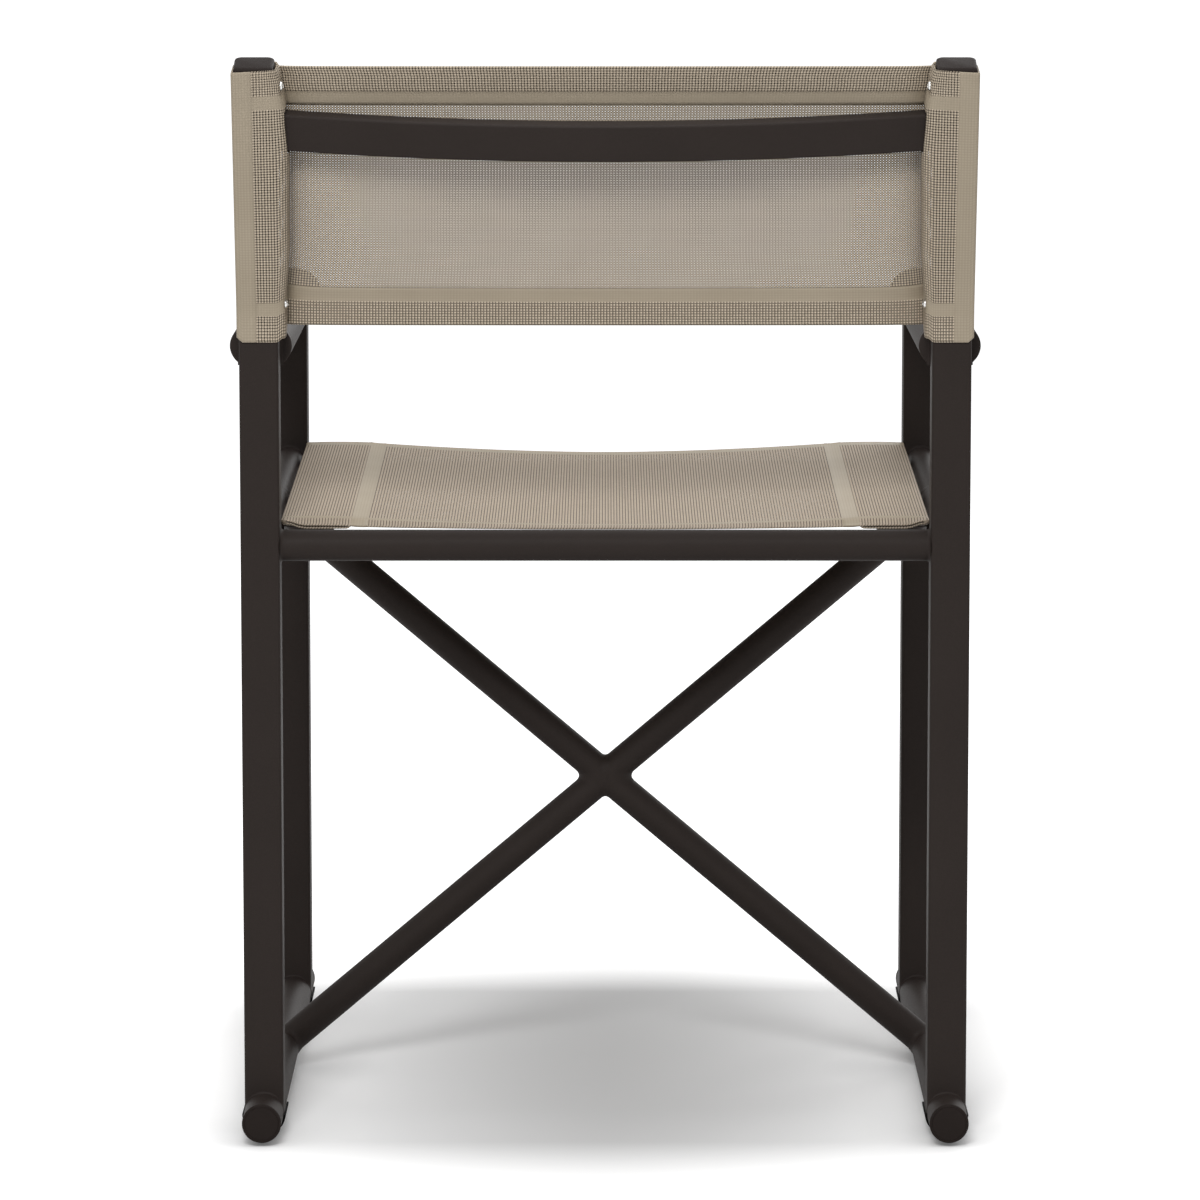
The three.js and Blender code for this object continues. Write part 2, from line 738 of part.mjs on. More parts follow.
for (const { name, sign } of sides) {
	const battenOutline = plate(
		Math.min(sign * battenInnerX, sign * battenOuterX),
		Math.max(sign * battenInnerX, sign * battenOuterX),
		-battenSetback,
		battenSetback - seatRun,
	);
	for (const place of Object.values(bracketPlaces)) {
		battenOutline.holes.push(battenScrewHole(sign * battenX, place));
	}
	const batten = extrudeUp(battenOutline, battenUnder, battenUnder + battenThickness, smallRound);
	addPart(`seat_batten_${name}`, batten, aluminium, seat);

	for (const [end, place] of Object.entries(bracketPlaces)) {
		const rear = place + bracketLength / 2;
		const bracket = extrudeForward(bracketOutline(sign), rear, rear - bracketLength);
		const screwDisc = disc(battenScrewDiameter + 2 * screwPlay);
		const hole = extrudeUp(screwDisc, bracketTop - overrun, bracketTop + overrun, smallRound);
		const drilled = cut(bracket, hole.translate(sign * battenX, place, 0));
		addPart(`batten_bracket_${name}_${end}`, drilled, powderCoat, seat);

		const grip = screwPlay + bracketThickness + weldGap + clothThickness + clothEase + battenScrewGrip;
		const screw = screwGeometry(battenScrewDiameter, battenScrewHead, battenScrewHeadHeight, grip);
		const head = bracketTop - bracketThickness - screwPlay;
		screw.rotateX(Math.PI).translate(sign * battenX, place, head);
		addPart(`batten_screw_${name}_${end}`, screw, stainless, seat);
	}
}

// The origin goes under the middle of the chair's box.
chair.updateMatrixWorld(true);
const middle = new THREE.Box3().setFromObject(chair).getCenter(new THREE.Vector3());
chair.position.y = -middle.y;
chair.updateMatrixWorld(true);

export default chair;
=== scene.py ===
import math
from functools import partialmethod

import bmesh
import bpy
from mathutils import Matrix, Vector


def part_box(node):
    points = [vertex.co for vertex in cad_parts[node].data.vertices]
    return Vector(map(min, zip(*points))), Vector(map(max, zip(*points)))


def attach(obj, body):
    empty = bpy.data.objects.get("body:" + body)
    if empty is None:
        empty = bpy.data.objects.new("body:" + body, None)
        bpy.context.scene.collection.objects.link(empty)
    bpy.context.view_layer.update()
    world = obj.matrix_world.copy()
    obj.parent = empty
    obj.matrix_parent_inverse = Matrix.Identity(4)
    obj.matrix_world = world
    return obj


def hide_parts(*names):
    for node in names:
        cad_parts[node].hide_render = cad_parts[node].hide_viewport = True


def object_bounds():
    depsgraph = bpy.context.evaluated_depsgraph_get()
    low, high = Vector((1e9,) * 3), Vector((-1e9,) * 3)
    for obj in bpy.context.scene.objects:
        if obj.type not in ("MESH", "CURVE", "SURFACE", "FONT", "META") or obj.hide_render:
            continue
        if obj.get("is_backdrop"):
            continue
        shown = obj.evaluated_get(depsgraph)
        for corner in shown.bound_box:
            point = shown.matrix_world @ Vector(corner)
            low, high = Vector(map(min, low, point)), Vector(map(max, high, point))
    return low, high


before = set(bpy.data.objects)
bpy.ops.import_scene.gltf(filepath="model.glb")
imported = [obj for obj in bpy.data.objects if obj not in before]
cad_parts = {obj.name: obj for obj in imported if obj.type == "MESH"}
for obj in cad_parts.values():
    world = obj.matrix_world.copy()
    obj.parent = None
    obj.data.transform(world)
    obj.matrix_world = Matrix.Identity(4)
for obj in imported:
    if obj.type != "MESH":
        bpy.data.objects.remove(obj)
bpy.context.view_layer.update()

# Rear posts: 30 mm square aluminium tube, bent 15 degrees to the rear just above the arms. The
# foot is coped over the floor runner and welded round, and the whole frame is powder coated in
# dark bronze after welding.
post_x = 0.263
rear_post_y = 0.209389
post_half = 0.015
post_rounding = 0.0025
runner_z = 0.018
runner_radius = 0.015
bend_start = 0.630
bend_radius = 0.080
rake = math.radians(15)
bend_length = bend_radius * rake
post_top = 0.830944
sides = {"left": 1, "right": -1}


def new_material(name):
    made = bpy.data.materials.new(name)
    made.use_nodes = True
    return made, made.node_tree, made.node_tree.nodes["Principled BSDF"]


def feed(tree, node, inputs):
    """Links or sets a node's inputs."""
    for name, value in dict(inputs).items():
        value = getattr(value, "socket", value)
        if isinstance(value, bpy.types.NodeSocket):
            tree.links.new(value, node.inputs[name])
        else:
            node.inputs[name].default_value = value


def add_node(tree, kind, inputs=(), **settings):
    node = tree.nodes.new("ShaderNode" + kind)
    for setting, value in settings.items():
        setattr(node, setting, value)
    feed(tree, node, inputs)
    return node


def add_value(tree, kind, inputs=(), output=0, **settings):
    return Value(tree, add_node(tree, kind, inputs, **settings).outputs[output])


class Value:
    """A number in a node tree, made so that sums can be written with it."""

    def __init__(self, tree, socket):
        self.tree = tree
        self.socket = socket

    def apply(self, operation, *others):
        return add_value(self.tree, "Math", enumerate((self, *others)), operation=operation)

    def ramp(self, start, stop, low=0, high=1):
        """Runs from low, where the number is start, to high, where it is stop."""
        ends = {"Value": self, "From Min": start, "From Max": stop, "To Min": low, "To Max": high}
        return add_value(self.tree, "MapRange", ends)

    def __rsub__(self, other):
        return add_value(self.tree, "Math", {0: other, 1: self}, operation="SUBTRACT")

    __add__ = partialmethod(apply, "ADD")
    __sub__ = partialmethod(apply, "SUBTRACT")
    __mul__ = partialmethod(apply, "MULTIPLY")
    __truediv__ = partialmethod(apply, "DIVIDE")


def noise(tree, scale, detail, stretch=(1, 1, 1)):
    place = add_node(tree, "TexCoord").outputs["Object"]
    place = add_node(tree, "Mapping", {"Vector": place, "Scale": stretch}).outputs[0]
    return add_value(tree, "TexNoise", {"Vector": place, "Scale": scale, "Detail": detail})


def blend(tree, share, first, second, kind="MIX"):
    inputs = {0: share, 6: first, 7: second}
    return add_node(tree, "Mix", inputs, data_type="RGBA", blend_type=kind).outputs[2]


def two_tone(share, first, second):
    return blend(share.tree, share, (*first, 1), (*second, 1))


def finish(shader, colour, roughness, height, strength, distance):
    """Gives a shader its colour, its roughness and a bump that follows height."""
    tree = height.tree
    bump = add_node(tree, "Bump", {"Strength": strength, "Distance": distance, "Height": height})
    feed(tree, shader, {"Base Color": colour, "Roughness": roughness, "Normal": bump.outputs[0]})


def square_outline(half_width, half_height, rounding, flats=6, steps=5):
    """A rounded rectangle, anticlockwise, with its flats divided."""
    outline = []
    corners = [(1, 1), (-1, 1), (-1, -1), (1, -1)]
    for index, (right, up) in enumerate(corners):
        centre = Vector((right * (half_width - rounding), up * (half_height - rounding)))
        for step in range(steps + 1):
            turn = (index + step / steps) * math.pi / 2
            outline.append(centre + rounding * Vector((math.cos(turn), math.sin(turn))))
        after_right, after_up = corners[(index + 1) % 4]
        after = Vector((after_right * (half_width - rounding), after_up * (half_height - rounding)))
        turn = (index + 1) * math.pi / 2
        after += rounding * Vector((math.cos(turn), math.sin(turn)))
        outline += [outline[-1].lerp(after, step / flats) for step in range(1, flats)]
    return [tuple(point) for point in outline]


def ring_at(outline, station):
    return [station @ Vector((x, y, 0)) for x, y in outline]


def loft(bm, rings, closed=False):
    """Carries the first ring through the places of the others. A closed one ends where it began."""
    corner = bm.verts.layers.int.get("corner") or bm.verts.layers.int.new("corner")
    first = []
    for index, place in enumerate(rings[0]):
        vert = bm.verts.new(place)
        vert[corner] = index
        first.append(vert)
    edges = [bm.edges.new(pair) for pair in zip(first, first[1:] + first[:1])]
    if not closed:
        bm.faces.new(first)
    made = list(first)
    for ring in rings[1:]:
        grown = bmesh.ops.extrude_edge_only(bm, edges=edges)["geom"]
        fresh = {part for part in grown if isinstance(part, bmesh.types.BMVert)}
        for vert in fresh:
            vert.co = ring[vert[corner]]
        edges = [part for part in grown if isinstance(part, bmesh.types.BMEdge) and set(part.verts) <= fresh]
        made += fresh
    if closed:
        bmesh.ops.remove_doubles(bm, verts=made, dist=1e-6)
    else:
        bmesh.ops.contextual_create(bm, geom=edges)


def add_piece(name, bm, material, slot, *nodes, sharp=40):
    bmesh.ops.recalc_face_normals(bm, faces=bm.faces)
    corner = bm.verts.layers.int.get("corner")
    if corner:
        bm.verts.layers.int.remove(corner)
    mesh = bpy.data.meshes.new(name)
    bm.to_mesh(mesh)
    bm.free()
    mesh.materials.append(material)
    mesh.shade_smooth()
    mesh.set_sharp_from_angle(angle=math.radians(sharp))
    piece = bpy.data.objects.new(name, mesh)
    bpy.context.scene.collection.objects.link(piece)
    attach(piece, "root")
    if nodes:
        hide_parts(*nodes)
    return piece


def dress(node, bm, material, slot, sharp=40):
    """Adds the finer piece that takes the place of a node's solid."""
    return add_piece(f"dressed_{node}", bm, material, slot, node, sharp=sharp)


def lofted(node, rings, material, slot, sharp=40):
    bm = bmesh.new()
    loft(bm, rings)
    dress(node, bm, material, slot, sharp)


def post_station(length, x=0):
    """Where the post's centre line is at that length, with Z along the post and Y to the rear."""
    lean = rake * min(max((length - bend_start) / bend_length, 0), 1)
    leaning = max(length - bend_start - bend_length, 0)
    back = bend_radius * (1 - math.cos(lean)) + leaning * math.sin(lean)
    up = min(length, bend_start) + bend_radius * math.sin(lean) + leaning * math.cos(lean)
    return Matrix.Translation((x, rear_post_y + back, up)) @ Matrix.Rotation(-lean, 4, "X")


def crown(across, half_width, half_height):
    """How high an oval stands at a place across it."""
    return half_height * math.sqrt(max(1 - (across / half_width) ** 2, 0))


powder_coat, tree, shader = new_material("powder_coat")
cloud, peel, grain = noise(tree, 14, 4), noise(tree, 620, 2), noise(tree, 2600, 1)
tone = cloud * 0.6 + grain.ramp(0.35, 0.65) * 0.4
colour = two_tone(tone, (0.0192, 0.0146, 0.0126), (0.0308, 0.0234, 0.0206))
finish(shader, colour, peel.ramp(0, 1, 0.50, 0.66), peel + grain * 0.35, 0.22, 0.0002)
shader.inputs["Specular IOR Level"].default_value = 0.11

post_outline = square_outline(post_half, post_half, post_rounding)
straight_lengths = (0.040, 0.3)
bend_lengths = [bend_start + bend_length * step / 10 for step in range(11)]


def cope(x, y, z, half_width, half_height):
    """The end of an upright post, coped onto an oval tube, or under it where half_height is below 0."""
    return [
        Vector((x + across, y + along, z + crown(across, half_width, half_height)))
        for across, along in post_outline
    ]


def runner_cope(x, y):
    return cope(x, y, runner_z, runner_radius, runner_radius)


for side, sign in sides.items():
    lengths = [*straight_lengths, *bend_lengths, post_top]
    rings = [ring_at(post_outline, post_station(length, sign * post_x)) for length in lengths]
    lofted(f"rear_post_{side}", [runner_cope(sign * post_x, rear_post_y), *rings], powder_coat, "frame")

# Front posts: the same square tube, standing upright. Each is coped over the runner below and
# under the arm above, and welded round at both.
front_post_y = -0.230611
front_post_ring = 0.585
arm_z = 0.609
arm_half_width = 0.02375
arm_half_depth = 0.019


def arm_cope(x, y):
    return cope(x, y, arm_z, arm_half_width, -arm_half_depth)


for side, sign in sides.items():
    x = sign * post_x
    upright = [Matrix.Translation((x, front_post_y, z)) for z in (*straight_lengths, front_post_ring)]
    rings = [ring_at(post_outline, station) for station in upright]
    rings = [runner_cope(x, front_post_y), *rings, arm_cope(x, front_post_y)]
    lofted(f"front_post_{side}", rings, powder_coat, "frame")

# Post caps: moulded blocks of dark plastic with a deep chamfer all round, pressed into the tops
# of the rear posts.
cap_height = 0.0043
cap_chamfer = 0.0027
cap_rounding = 0.0030
cap_profile = [(0.0002, 0.0003), (0.0006, 0), (cap_height - cap_chamfer, 0)]
for step in range(1, 5):
    turn = step / 4 * math.pi / 2
    height = cap_height - cap_chamfer * (1 - math.sin(turn) ** 1.2)
    cap_profile.append((height, cap_chamfer * (1 - math.cos(turn))))


def moulding_material(name, dark, light, low, high, gloss):
    """A fine-grained plastic. dark and light are the ends of its colour, low and high those of its
    roughness."""
    made, tree, shader = new_material(name)
    grain = noise(tree, 1500, 3)
    finish(shader, two_tone(noise(tree, 40, 4), dark, light), grain.ramp(0, 1, low, high), grain, 0.3, 0.0001)
    shader.inputs["Specular IOR Level"].default_value = gloss
    return made


cap_moulding = moulding_material(
    "cap_moulding",
    dark=(0.0130, 0.0090, 0.0076),
    light=(0.0185, 0.0134, 0.0116),
    low=0.58,
    high=0.72,
    gloss=0.11,
)

for side, sign in sides.items():
    rings = []
    for height, inset in cap_profile:
        half = post_half - inset
        outline = square_outline(half, half, cap_rounding + inset / 2, flats=4)
        station = post_station(post_top, sign * post_x) @ Matrix.Translation((0, 0, height))
        rings.append(ring_at(outline, station))
    lofted(f"post_cap_{side}", rings, cap_moulding, "caps", sharp=30)

# Runners: round tube along the floor under each pair of posts, closed at both ends by flush caps
# pressed into the tube.
runner_rear = 0.260093
runner_front = -0.281307
runner_cap_profile = [
    (0.0002, 0.0149), (0.0004, 0.0150), (0.0016, 0.0150), (0.0021, 0.0147), (0.0023, 0.0142),
    (0.0023, 0.0134), (0.0020, 0.0131), (0.0020, 0.0129), (0.0023, 0.0126), (0.0023, 0.0060),
]


def oval_outline(half_width, half_height, count):
    turns = [2 * math.pi * step / count for step in range(count)]
    return [(half_width * math.cos(turn), half_height * math.sin(turn)) for turn in turns]


def along_y(x, y, z):
    """A station on a line that runs to the rear, with its X across and its Y up."""
    return Matrix.Translation((x, y, z)) @ Matrix.Rotation(math.pi / 2, 4, "X")


for side, sign in sides.items():
    places = [runner_front, runner_front / 3, runner_rear / 3, runner_rear]
    outline = oval_outline(runner_radius, runner_radius, 64)
    rings = [ring_at(outline, along_y(sign * post_x, y, runner_z)) for y in places]
    lofted(f"runner_{side}", rings, powder_coat, "frame")
    for end, y, outward in (("rear", runner_rear, 1), ("front", runner_front, -1)):
        rings = []
        for proud, radius in runner_cap_profile:
            outline = oval_outline(radius, radius, 64)
            rings.append(ring_at(outline, along_y(sign * post_x, y + outward * proud, runner_z)))
        lofted(f"runner_cap_{side}_{end}", rings, cap_moulding, "caps", sharp=25)

# Glides: saddles moulded in black plastic, that cup each runner from below near both its ends and
# are flat underneath.
glide_lengths = {"rear": (0.183389, 0.228389), "front": (-0.249611, -0.204611)}
glide_wrap = math.radians(88)
glide_brink = math.radians(55)
glide_bore = 0.0153
glide_outer = 0.0168
glide_ease = 0.0006
sole_corner = 0.0062
sole_flat = 0.0032
sole_bend = 0.42
glide_moulding = moulding_material(
    "glide_moulding",
    dark=(0.002, 0.002, 0.002),
    light=(0.004, 0.004, 0.004),
    low=0.60,
    high=0.75,
    gloss=0.06,
)


def glide_outline(inset):
    """The saddle's section round the runner's centre: the bore above, the eased sole below."""
    outer = glide_outer - inset
    turns = [glide_wrap + (glide_brink - glide_wrap) * step / 8 for step in range(9)]
    under = [Vector((-outer * math.sin(turn), -outer * math.cos(turn))) for turn in turns]
    corner = Vector((-sole_corner, inset - runner_z))
    start, end = corner.lerp(under[-1], sole_bend), Vector((-sole_flat, corner.y))
    for step in range(9):
        share = step / 8
        under.append((1 - share) ** 2 * start + 2 * share * (1 - share) * corner + share ** 2 * end)
    under = [tuple(place) for place in under]
    under += [(-across, up) for across, up in reversed(under)]
    turns = [glide_wrap * (1 - step / 12) for step in range(25)]
    return under + [(glide_bore * math.sin(turn), -glide_bore * math.cos(turn)) for turn in turns]


for side, sign in sides.items():
    for end, (front, rear) in glide_lengths.items():
        ends = [(front, glide_ease), (front + glide_ease, 0), (rear - glide_ease, 0), (rear, glide_ease)]
        rings = [ring_at(glide_outline(inset), along_y(sign * post_x, y, runner_z)) for y, inset in ends]
        lofted(f"glide_{side}_{end}", rings, glide_moulding, "glides")

# Arms: oval tube laid flat along the tops of the front posts and butted against the rear ones,
# with a closed plate pressed into each end.
arm_rear = 0.181789
arm_front = -0.258311
arm_ease = 0.0003
arm_plate = 0.0123
arm_plate_rounding = 0.0015
arm_plate_profile = [(0.0001, 0.0005), (0.0004, 0.0001), (0.0006, 0)]
for step in range(6):
    turn = step / 5 * math.pi / 2
    proud = arm_plate - arm_plate_rounding * (1 - math.sin(turn))
    arm_plate_profile.append((proud, arm_plate_rounding * (1 - math.cos(turn))))


def arm_ring(x, y, inset):
    outline = oval_outline(arm_half_width - inset, arm_half_depth - inset, 72)
    return ring_at(outline, along_y(x, y, arm_z))


for side, sign in sides.items():
    x = sign * post_x
    ends = [
        (arm_front, arm_ease), (arm_front + arm_ease, 0), (arm_front / 3, 0), (arm_rear / 3, 0),
        (arm_rear - arm_ease, 0), (arm_rear, arm_ease),
    ]
    lofted(f"arm_{side}", [arm_ring(x, y, inset) for y, inset in ends], powder_coat, "frame")
    for end, y, outward in (("rear", arm_rear, 1), ("front", arm_front, -1)):
        rings = [arm_ring(x, y + outward * proud, inset) for proud, inset in arm_plate_profile]
        lofted(f"arm_cap_{side}_{end}", rings, powder_coat, "caps", sharp=30)

# Seat rails: 24 mm round tube. One runs along each side, rising a little to the front, and one
# across between each pair of posts.
rail_radius = 0.012
rail_outline = oval_outline(rail_radius, rail_radius, 56)
rear_rail_z = 0.4576
front_rail_z = 0.457
seat_front_z = 0.470
seat_rear = Vector((0, rear_post_y - post_half, rear_rail_z))
seat_front = Vector((0, front_post_y + post_half, seat_front_z))
seat_run = (seat_front - seat_rear).normalized()
cross_end = 0.248


def facing(direction, axis="Z"):
    return direction.to_track_quat(axis, "Y").to_matrix().to_4x4()


def tube(start, end, trim=None):
    """The rings of a rail's tube from start to end. trim moves each end's rim onto what it meets."""
    direction = (end - start).normalized()
    rims = [ring_at(rail_outline, Matrix.Translation(place) @ facing(direction)) for place in (start, end)]
    if trim:
        rims = [[trim(place, direction, at_end) for place in rim] for at_end, rim in enumerate(rims)]
    middles = [[first.lerp(last, share) for first, last in zip(*rims)] for share in (0.02, 0.35, 0.65, 0.98)]
    return [rims[0], *middles, rims[1]]


def upright_trim(place, direction, at_end):
    target = (seat_front if at_end else seat_rear).y
    return place + direction * ((target - place.y) / direction.y)


for side, sign in sides.items():
    shift = Vector((sign * post_x, 0, 0))
    rings = tube(seat_rear + shift, seat_front + shift, trim=upright_trim)
    lofted(f"seat_side_rail_{side}", rings, powder_coat, "frame")

cross_rails = {"seat_rear_rail": (rear_post_y, rear_rail_z), "seat_front_rail": (front_post_y, front_rail_z)}
for name, (y, z) in cross_rails.items():
    lofted(name, tube(Vector((-cross_end, y, z)), Vector((cross_end, y, z))), powder_coat, "frame")

# Cross brace: two 24 mm tubes in an X between the runners and the side rails. One runs through
# whole, and the other is in two halves coped onto it where they cross.
brace_y = -0.010611
brace_high_z = 0.4638
brace_middle = Vector((0, brace_y, (runner_z + brace_high_z) / 2))
low_left, low_right = (Vector((sign * post_x, brace_y, runner_z)) for sign in (1, -1))
high_left, high_right = (Vector((sign * post_x, brace_y, brace_high_z)) for sign in (1, -1))


def slide_onto(place, direction, line_point, line_direction, radius):
    """Moves a place along a direction until it lies on the near wall of a tube."""
    offset = place - line_point
    offset -= offset.dot(line_direction) * line_direction
    step = direction - direction.dot(line_direction) * line_direction
    a, b, c = step.dot(step), 2 * offset.dot(step), offset.dot(offset) - radius ** 2
    return place + direction * ((-b - math.sqrt(max(b * b - 4 * a * c, 0))) / (2 * a))


def brace_trim(meets):
    def trim(place, direction, at_end):
        line_point, line_direction, radius = meets[at_end]
        outward = direction if at_end else -direction
        return slide_onto(place, outward, line_point, line_direction, radius)

    return trim


rearward = Vector((0, 1, 0))
whole_run = (high_right - low_left).normalized()
whole_line = (brace_middle, whole_run, rail_radius)
runner_line = {sign: (Vector((sign * post_x, 0, runner_z)), rearward, runner_radius) for sign in (1, -1)}
side_rail_line = {
    sign: (seat_rear + Vector((sign * post_x, 0, 0)), seat_run, rail_radius) for sign in (1, -1)
}
brace_tubes = {
    "cross_brace_whole": (low_left, high_right, runner_line[1], side_rail_line[-1]),
    "cross_brace_lower_half": (low_right, brace_middle, runner_line[-1], whole_line),
    "cross_brace_upper_half": (brace_middle, high_left, whole_line, side_rail_line[1]),
}
for name, (start, end, *meets) in brace_tubes.items():
    lofted(name, tube(start, end, trim=brace_trim(meets)), powder_coat, "frame")

# Back rail: flat aluminium tube, bowed to the rear between the leaning posts. It passes through a
# slot in each sleeve of the back sling and is welded square to the posts' inner faces.
back_rail_length = 0.782444
back_rail_station = post_station(back_rail_length)
back_rail_bow = 0.028
back_rail_arc = (cross_end ** 2 + back_rail_bow ** 2) / (2 * back_rail_bow)
back_rail_sweep = math.asin(cross_end / back_rail_arc)
back_rail_half = (0.0075, 0.01425)
back_rail_rounding = 0.002
back_rail_outline = square_outline(*back_rail_half, back_rail_rounding, flats=3, steps=6)


def back_rail_ring(turn):
    """The rail's section where its arc has turned so far from the middle, cut square at the posts."""
    ring = []
    for thick, high in back_rail_outline:
        radius = back_rail_arc + thick
        across, back = radius * math.sin(turn), radius * math.cos(turn) + back_rail_bow - back_rail_arc
        if abs(turn) > 0.999 * back_rail_sweep:
            end = math.copysign(cross_end, turn)
            back -= (end - across) * math.tan(turn)
            across = end
        ring.append(back_rail_station @ Vector((across, back, high)))
    return ring


rings = [back_rail_ring(back_rail_sweep * (step / 24 - 1)) for step in range(49)]
lofted("back_rail", rings, powder_coat, "frame")


# Welds: every joint of the frame is closed with a smooth fillet, laid all round, that is ground
# soft before the powder coat goes on.
def tube_wall(line_point, line_direction, radius):
    def nearest(place):
        offset = place - line_point
        foot = line_point + offset.dot(line_direction) * line_direction
        outward = (place - foot).normalized()
        return foot + outward * radius, outward

    return nearest


def flat_wall(through, outward):
    def nearest(place):
        return place - (place - through).dot(outward) * outward, outward

    return nearest


def post_wall(x, y):
    flat = post_half - post_rounding

    def nearest(place):
        across, along = (min(max(away, -flat), flat) for away in (place.x - x, place.y - y))
        inner = Vector((x + across, y + along, place.z))
        outward = place - inner
        outward.z = 0
        outward.normalize()
        return inner + outward * post_rounding, outward

    return nearest


def arm_wall(x):
    def nearest(place):
        across, up = place.x - x, place.z - arm_z
        size = math.hypot(across / arm_half_width, up / arm_half_depth)
        outward = Vector((across / arm_half_width ** 2, 0, up / arm_half_depth ** 2)).normalized()
        return Vector((x + across / size, place.y, arm_z + up / size)), outward

    return nearest


bead_sink = 0.00006
bead_lift = 0.0007
bead_root = 0.0008
runner_bead = 0.0024
arm_bead = 0.0028
plate_bead = 0.0026
face_bead = 0.0024
rail_bead = 0.0030
back_rail_bead = 0.0015
brace_bead = 0.0050


def fillet(bm, places, wall_a, wall_b, leg, closed=True):
    """Lays a concave bead along the line where two walls meet. Its leg may change with the place."""
    count = len(places)
    beads = []
    for index, place in enumerate(places):
        before = places[index - 1] if closed or index else place
        after = places[(index + 1) % count] if closed or index < count - 1 else place
        run = (after - before).normalized()
        out_a, out_b = wall_a(place)[1], wall_b(place)[1]
        beads.append((place, run, out_a, out_b))
    place, run, out_a, out_b = max(beads, key=lambda bead: bead[2].cross(bead[3]).length)
    turn_a = math.copysign(1, run.cross(out_a).dot(out_b))
    turn_b = math.copysign(1, run.cross(out_b).dot(out_a))
    rings = []
    for place, run, out_a, out_b in beads:
        reach = leg(place) if callable(leg) else leg
        end_a = wall_a(place + run.cross(out_a).normalized() * turn_a * reach)[0] - out_a * bead_sink
        end_b = wall_b(place + run.cross(out_b).normalized() * turn_b * reach)[0] - out_b * bead_sink
        outward = (out_a + out_b).normalized()
        lift = outward * bead_lift * max(out_a.dot(out_b), 0) ** 2
        ring = []
        for step in range(7):
            share = step / 6
            bowed = (1 - share) ** 2 * end_a + 2 * share * (1 - share) * place + share ** 2 * end_b
            ring.append(bowed + lift * math.sin(math.pi * share))
        ring.append(place - outward * bead_root)
        rings.append(ring)
    loft(bm, rings + rings[:1] if closed else rings, closed)


bm = bmesh.new()
weld_outline = oval_outline(rail_radius, rail_radius, 48)
weld_spread = [step / 12 - 1 for step in range(25)]
half_span = post_half - post_rounding
for sign in (1, -1):
    x = sign * post_x
    runner = tube_wall(*runner_line[sign])
    side_rail = tube_wall(*side_rail_line[sign])
    for y in (rear_post_y, front_post_y):
        fillet(bm, runner_cope(x, y), post_wall(x, y), runner, runner_bead)
    fillet(bm, arm_cope(x, front_post_y), post_wall(x, front_post_y), arm_wall(x), arm_bead)

    # arm to rear post: a bead down each side of the post, and one over and under the arm
    plate_y, face_y = arm_rear + arm_plate, rear_post_y - post_half
    plate = flat_wall(Vector((x, plate_y, arm_z)), rearward)
    post_front = flat_wall(Vector((x, face_y, arm_z)), -rearward)
    reach = crown(post_half, arm_half_width, arm_half_depth)
    for edge in (1, -1):
        seam = [Vector((x + edge * post_half, plate_y, arm_z + reach * share)) for share in weld_spread]
        fillet(bm, seam, plate, flat_wall(seam[0], Vector((edge, 0, 0))), plate_bead, closed=False)
        seam = []
        for across in (half_span * share for share in weld_spread):
            up = edge * crown(across, arm_half_width, arm_half_depth)
            seam.append(Vector((x + across, face_y, arm_z + up)))
        fillet(bm, seam, arm_wall(x), post_front, face_bead, closed=False)

    # side rail to both posts
    for end, outward in ((seat_rear, -rearward), (seat_front, rearward)):
        centre = end + Vector((x, 0, 0))
        rim = [centre + Vector((across, 0, up)) for across, up in weld_outline]
        fillet(bm, rim, side_rail, flat_wall(centre, outward), rail_bead)

    # cross rails to the posts
    for y, z in cross_rails.values():
        centre = Vector((sign * cross_end, y, z))
        line = tube_wall(centre, Vector((1, 0, 0)), rail_radius)
        rim = [centre + Vector((0, across, up)) for across, up in weld_outline]
        fillet(bm, rim, line, flat_wall(centre, Vector((-sign, 0, 0))), rail_bead)

    # back rail to the post
    turn = sign * back_rail_sweep
    rim = back_rail_ring(turn)
    up = (back_rail_station.to_3x3() @ Vector((0, 0, 1))).normalized()
    middle = sum(rim, Vector()) / len(rim)

    def rail_wall(place):
        offset = place - middle
        high = offset.dot(up)
        thick = (offset - high * up).y
        flat_thick, flat_high = (half - back_rail_rounding for half in back_rail_half)
        high -= min(max(high, -flat_high), flat_high)
        thick -= min(max(thick, -flat_thick), flat_thick)
        level = (rearward - rearward.dot(up) * up).normalized()
        return place, (up * high + level * thick).normalized()

    fillet(bm, rim, rail_wall, flat_wall(middle, Vector((-sign, 0, 0))), back_rail_bead)


def smooth(value, low, high):
    share = min(max((value - low) / (high - low), 0), 1)
    return share * share * (3 - 2 * share)


def crossing_leg(place):
    """Short above and below the crossing, and long at its sides."""
    offset = place - brace_middle
    return 0.0040 + 0.0032 * smooth(abs(offset.x) / (abs(offset.x) + abs(offset.z) + 1e-9), 0.2, 0.8)


brace_joints = [
    (low_left, high_right, runner_line[1], brace_bead),
    (high_right, low_left, side_rail_line[-1], brace_bead),
    (low_right, high_left, runner_line[-1], brace_bead),
    (high_left, low_right, side_rail_line[1], brace_bead),
    (brace_middle, low_right, whole_line, crossing_leg),
    (brace_middle, high_left, whole_line, crossing_leg),
]
for centre, other_end, meets, leg in brace_joints:
    run = (centre - other_end).normalized()
    rim = ring_at(oval_outline(rail_radius, rail_radius, 96), Matrix.Translation(centre) @ facing(run))
    rim = [slide_onto(place, run, *meets) for place in rim]
    fillet(bm, rim, tube_wall(centre, run, rail_radius), tube_wall(*meets), leg)
add_piece("welds", bm, powder_coat, "frame", sharp=60)

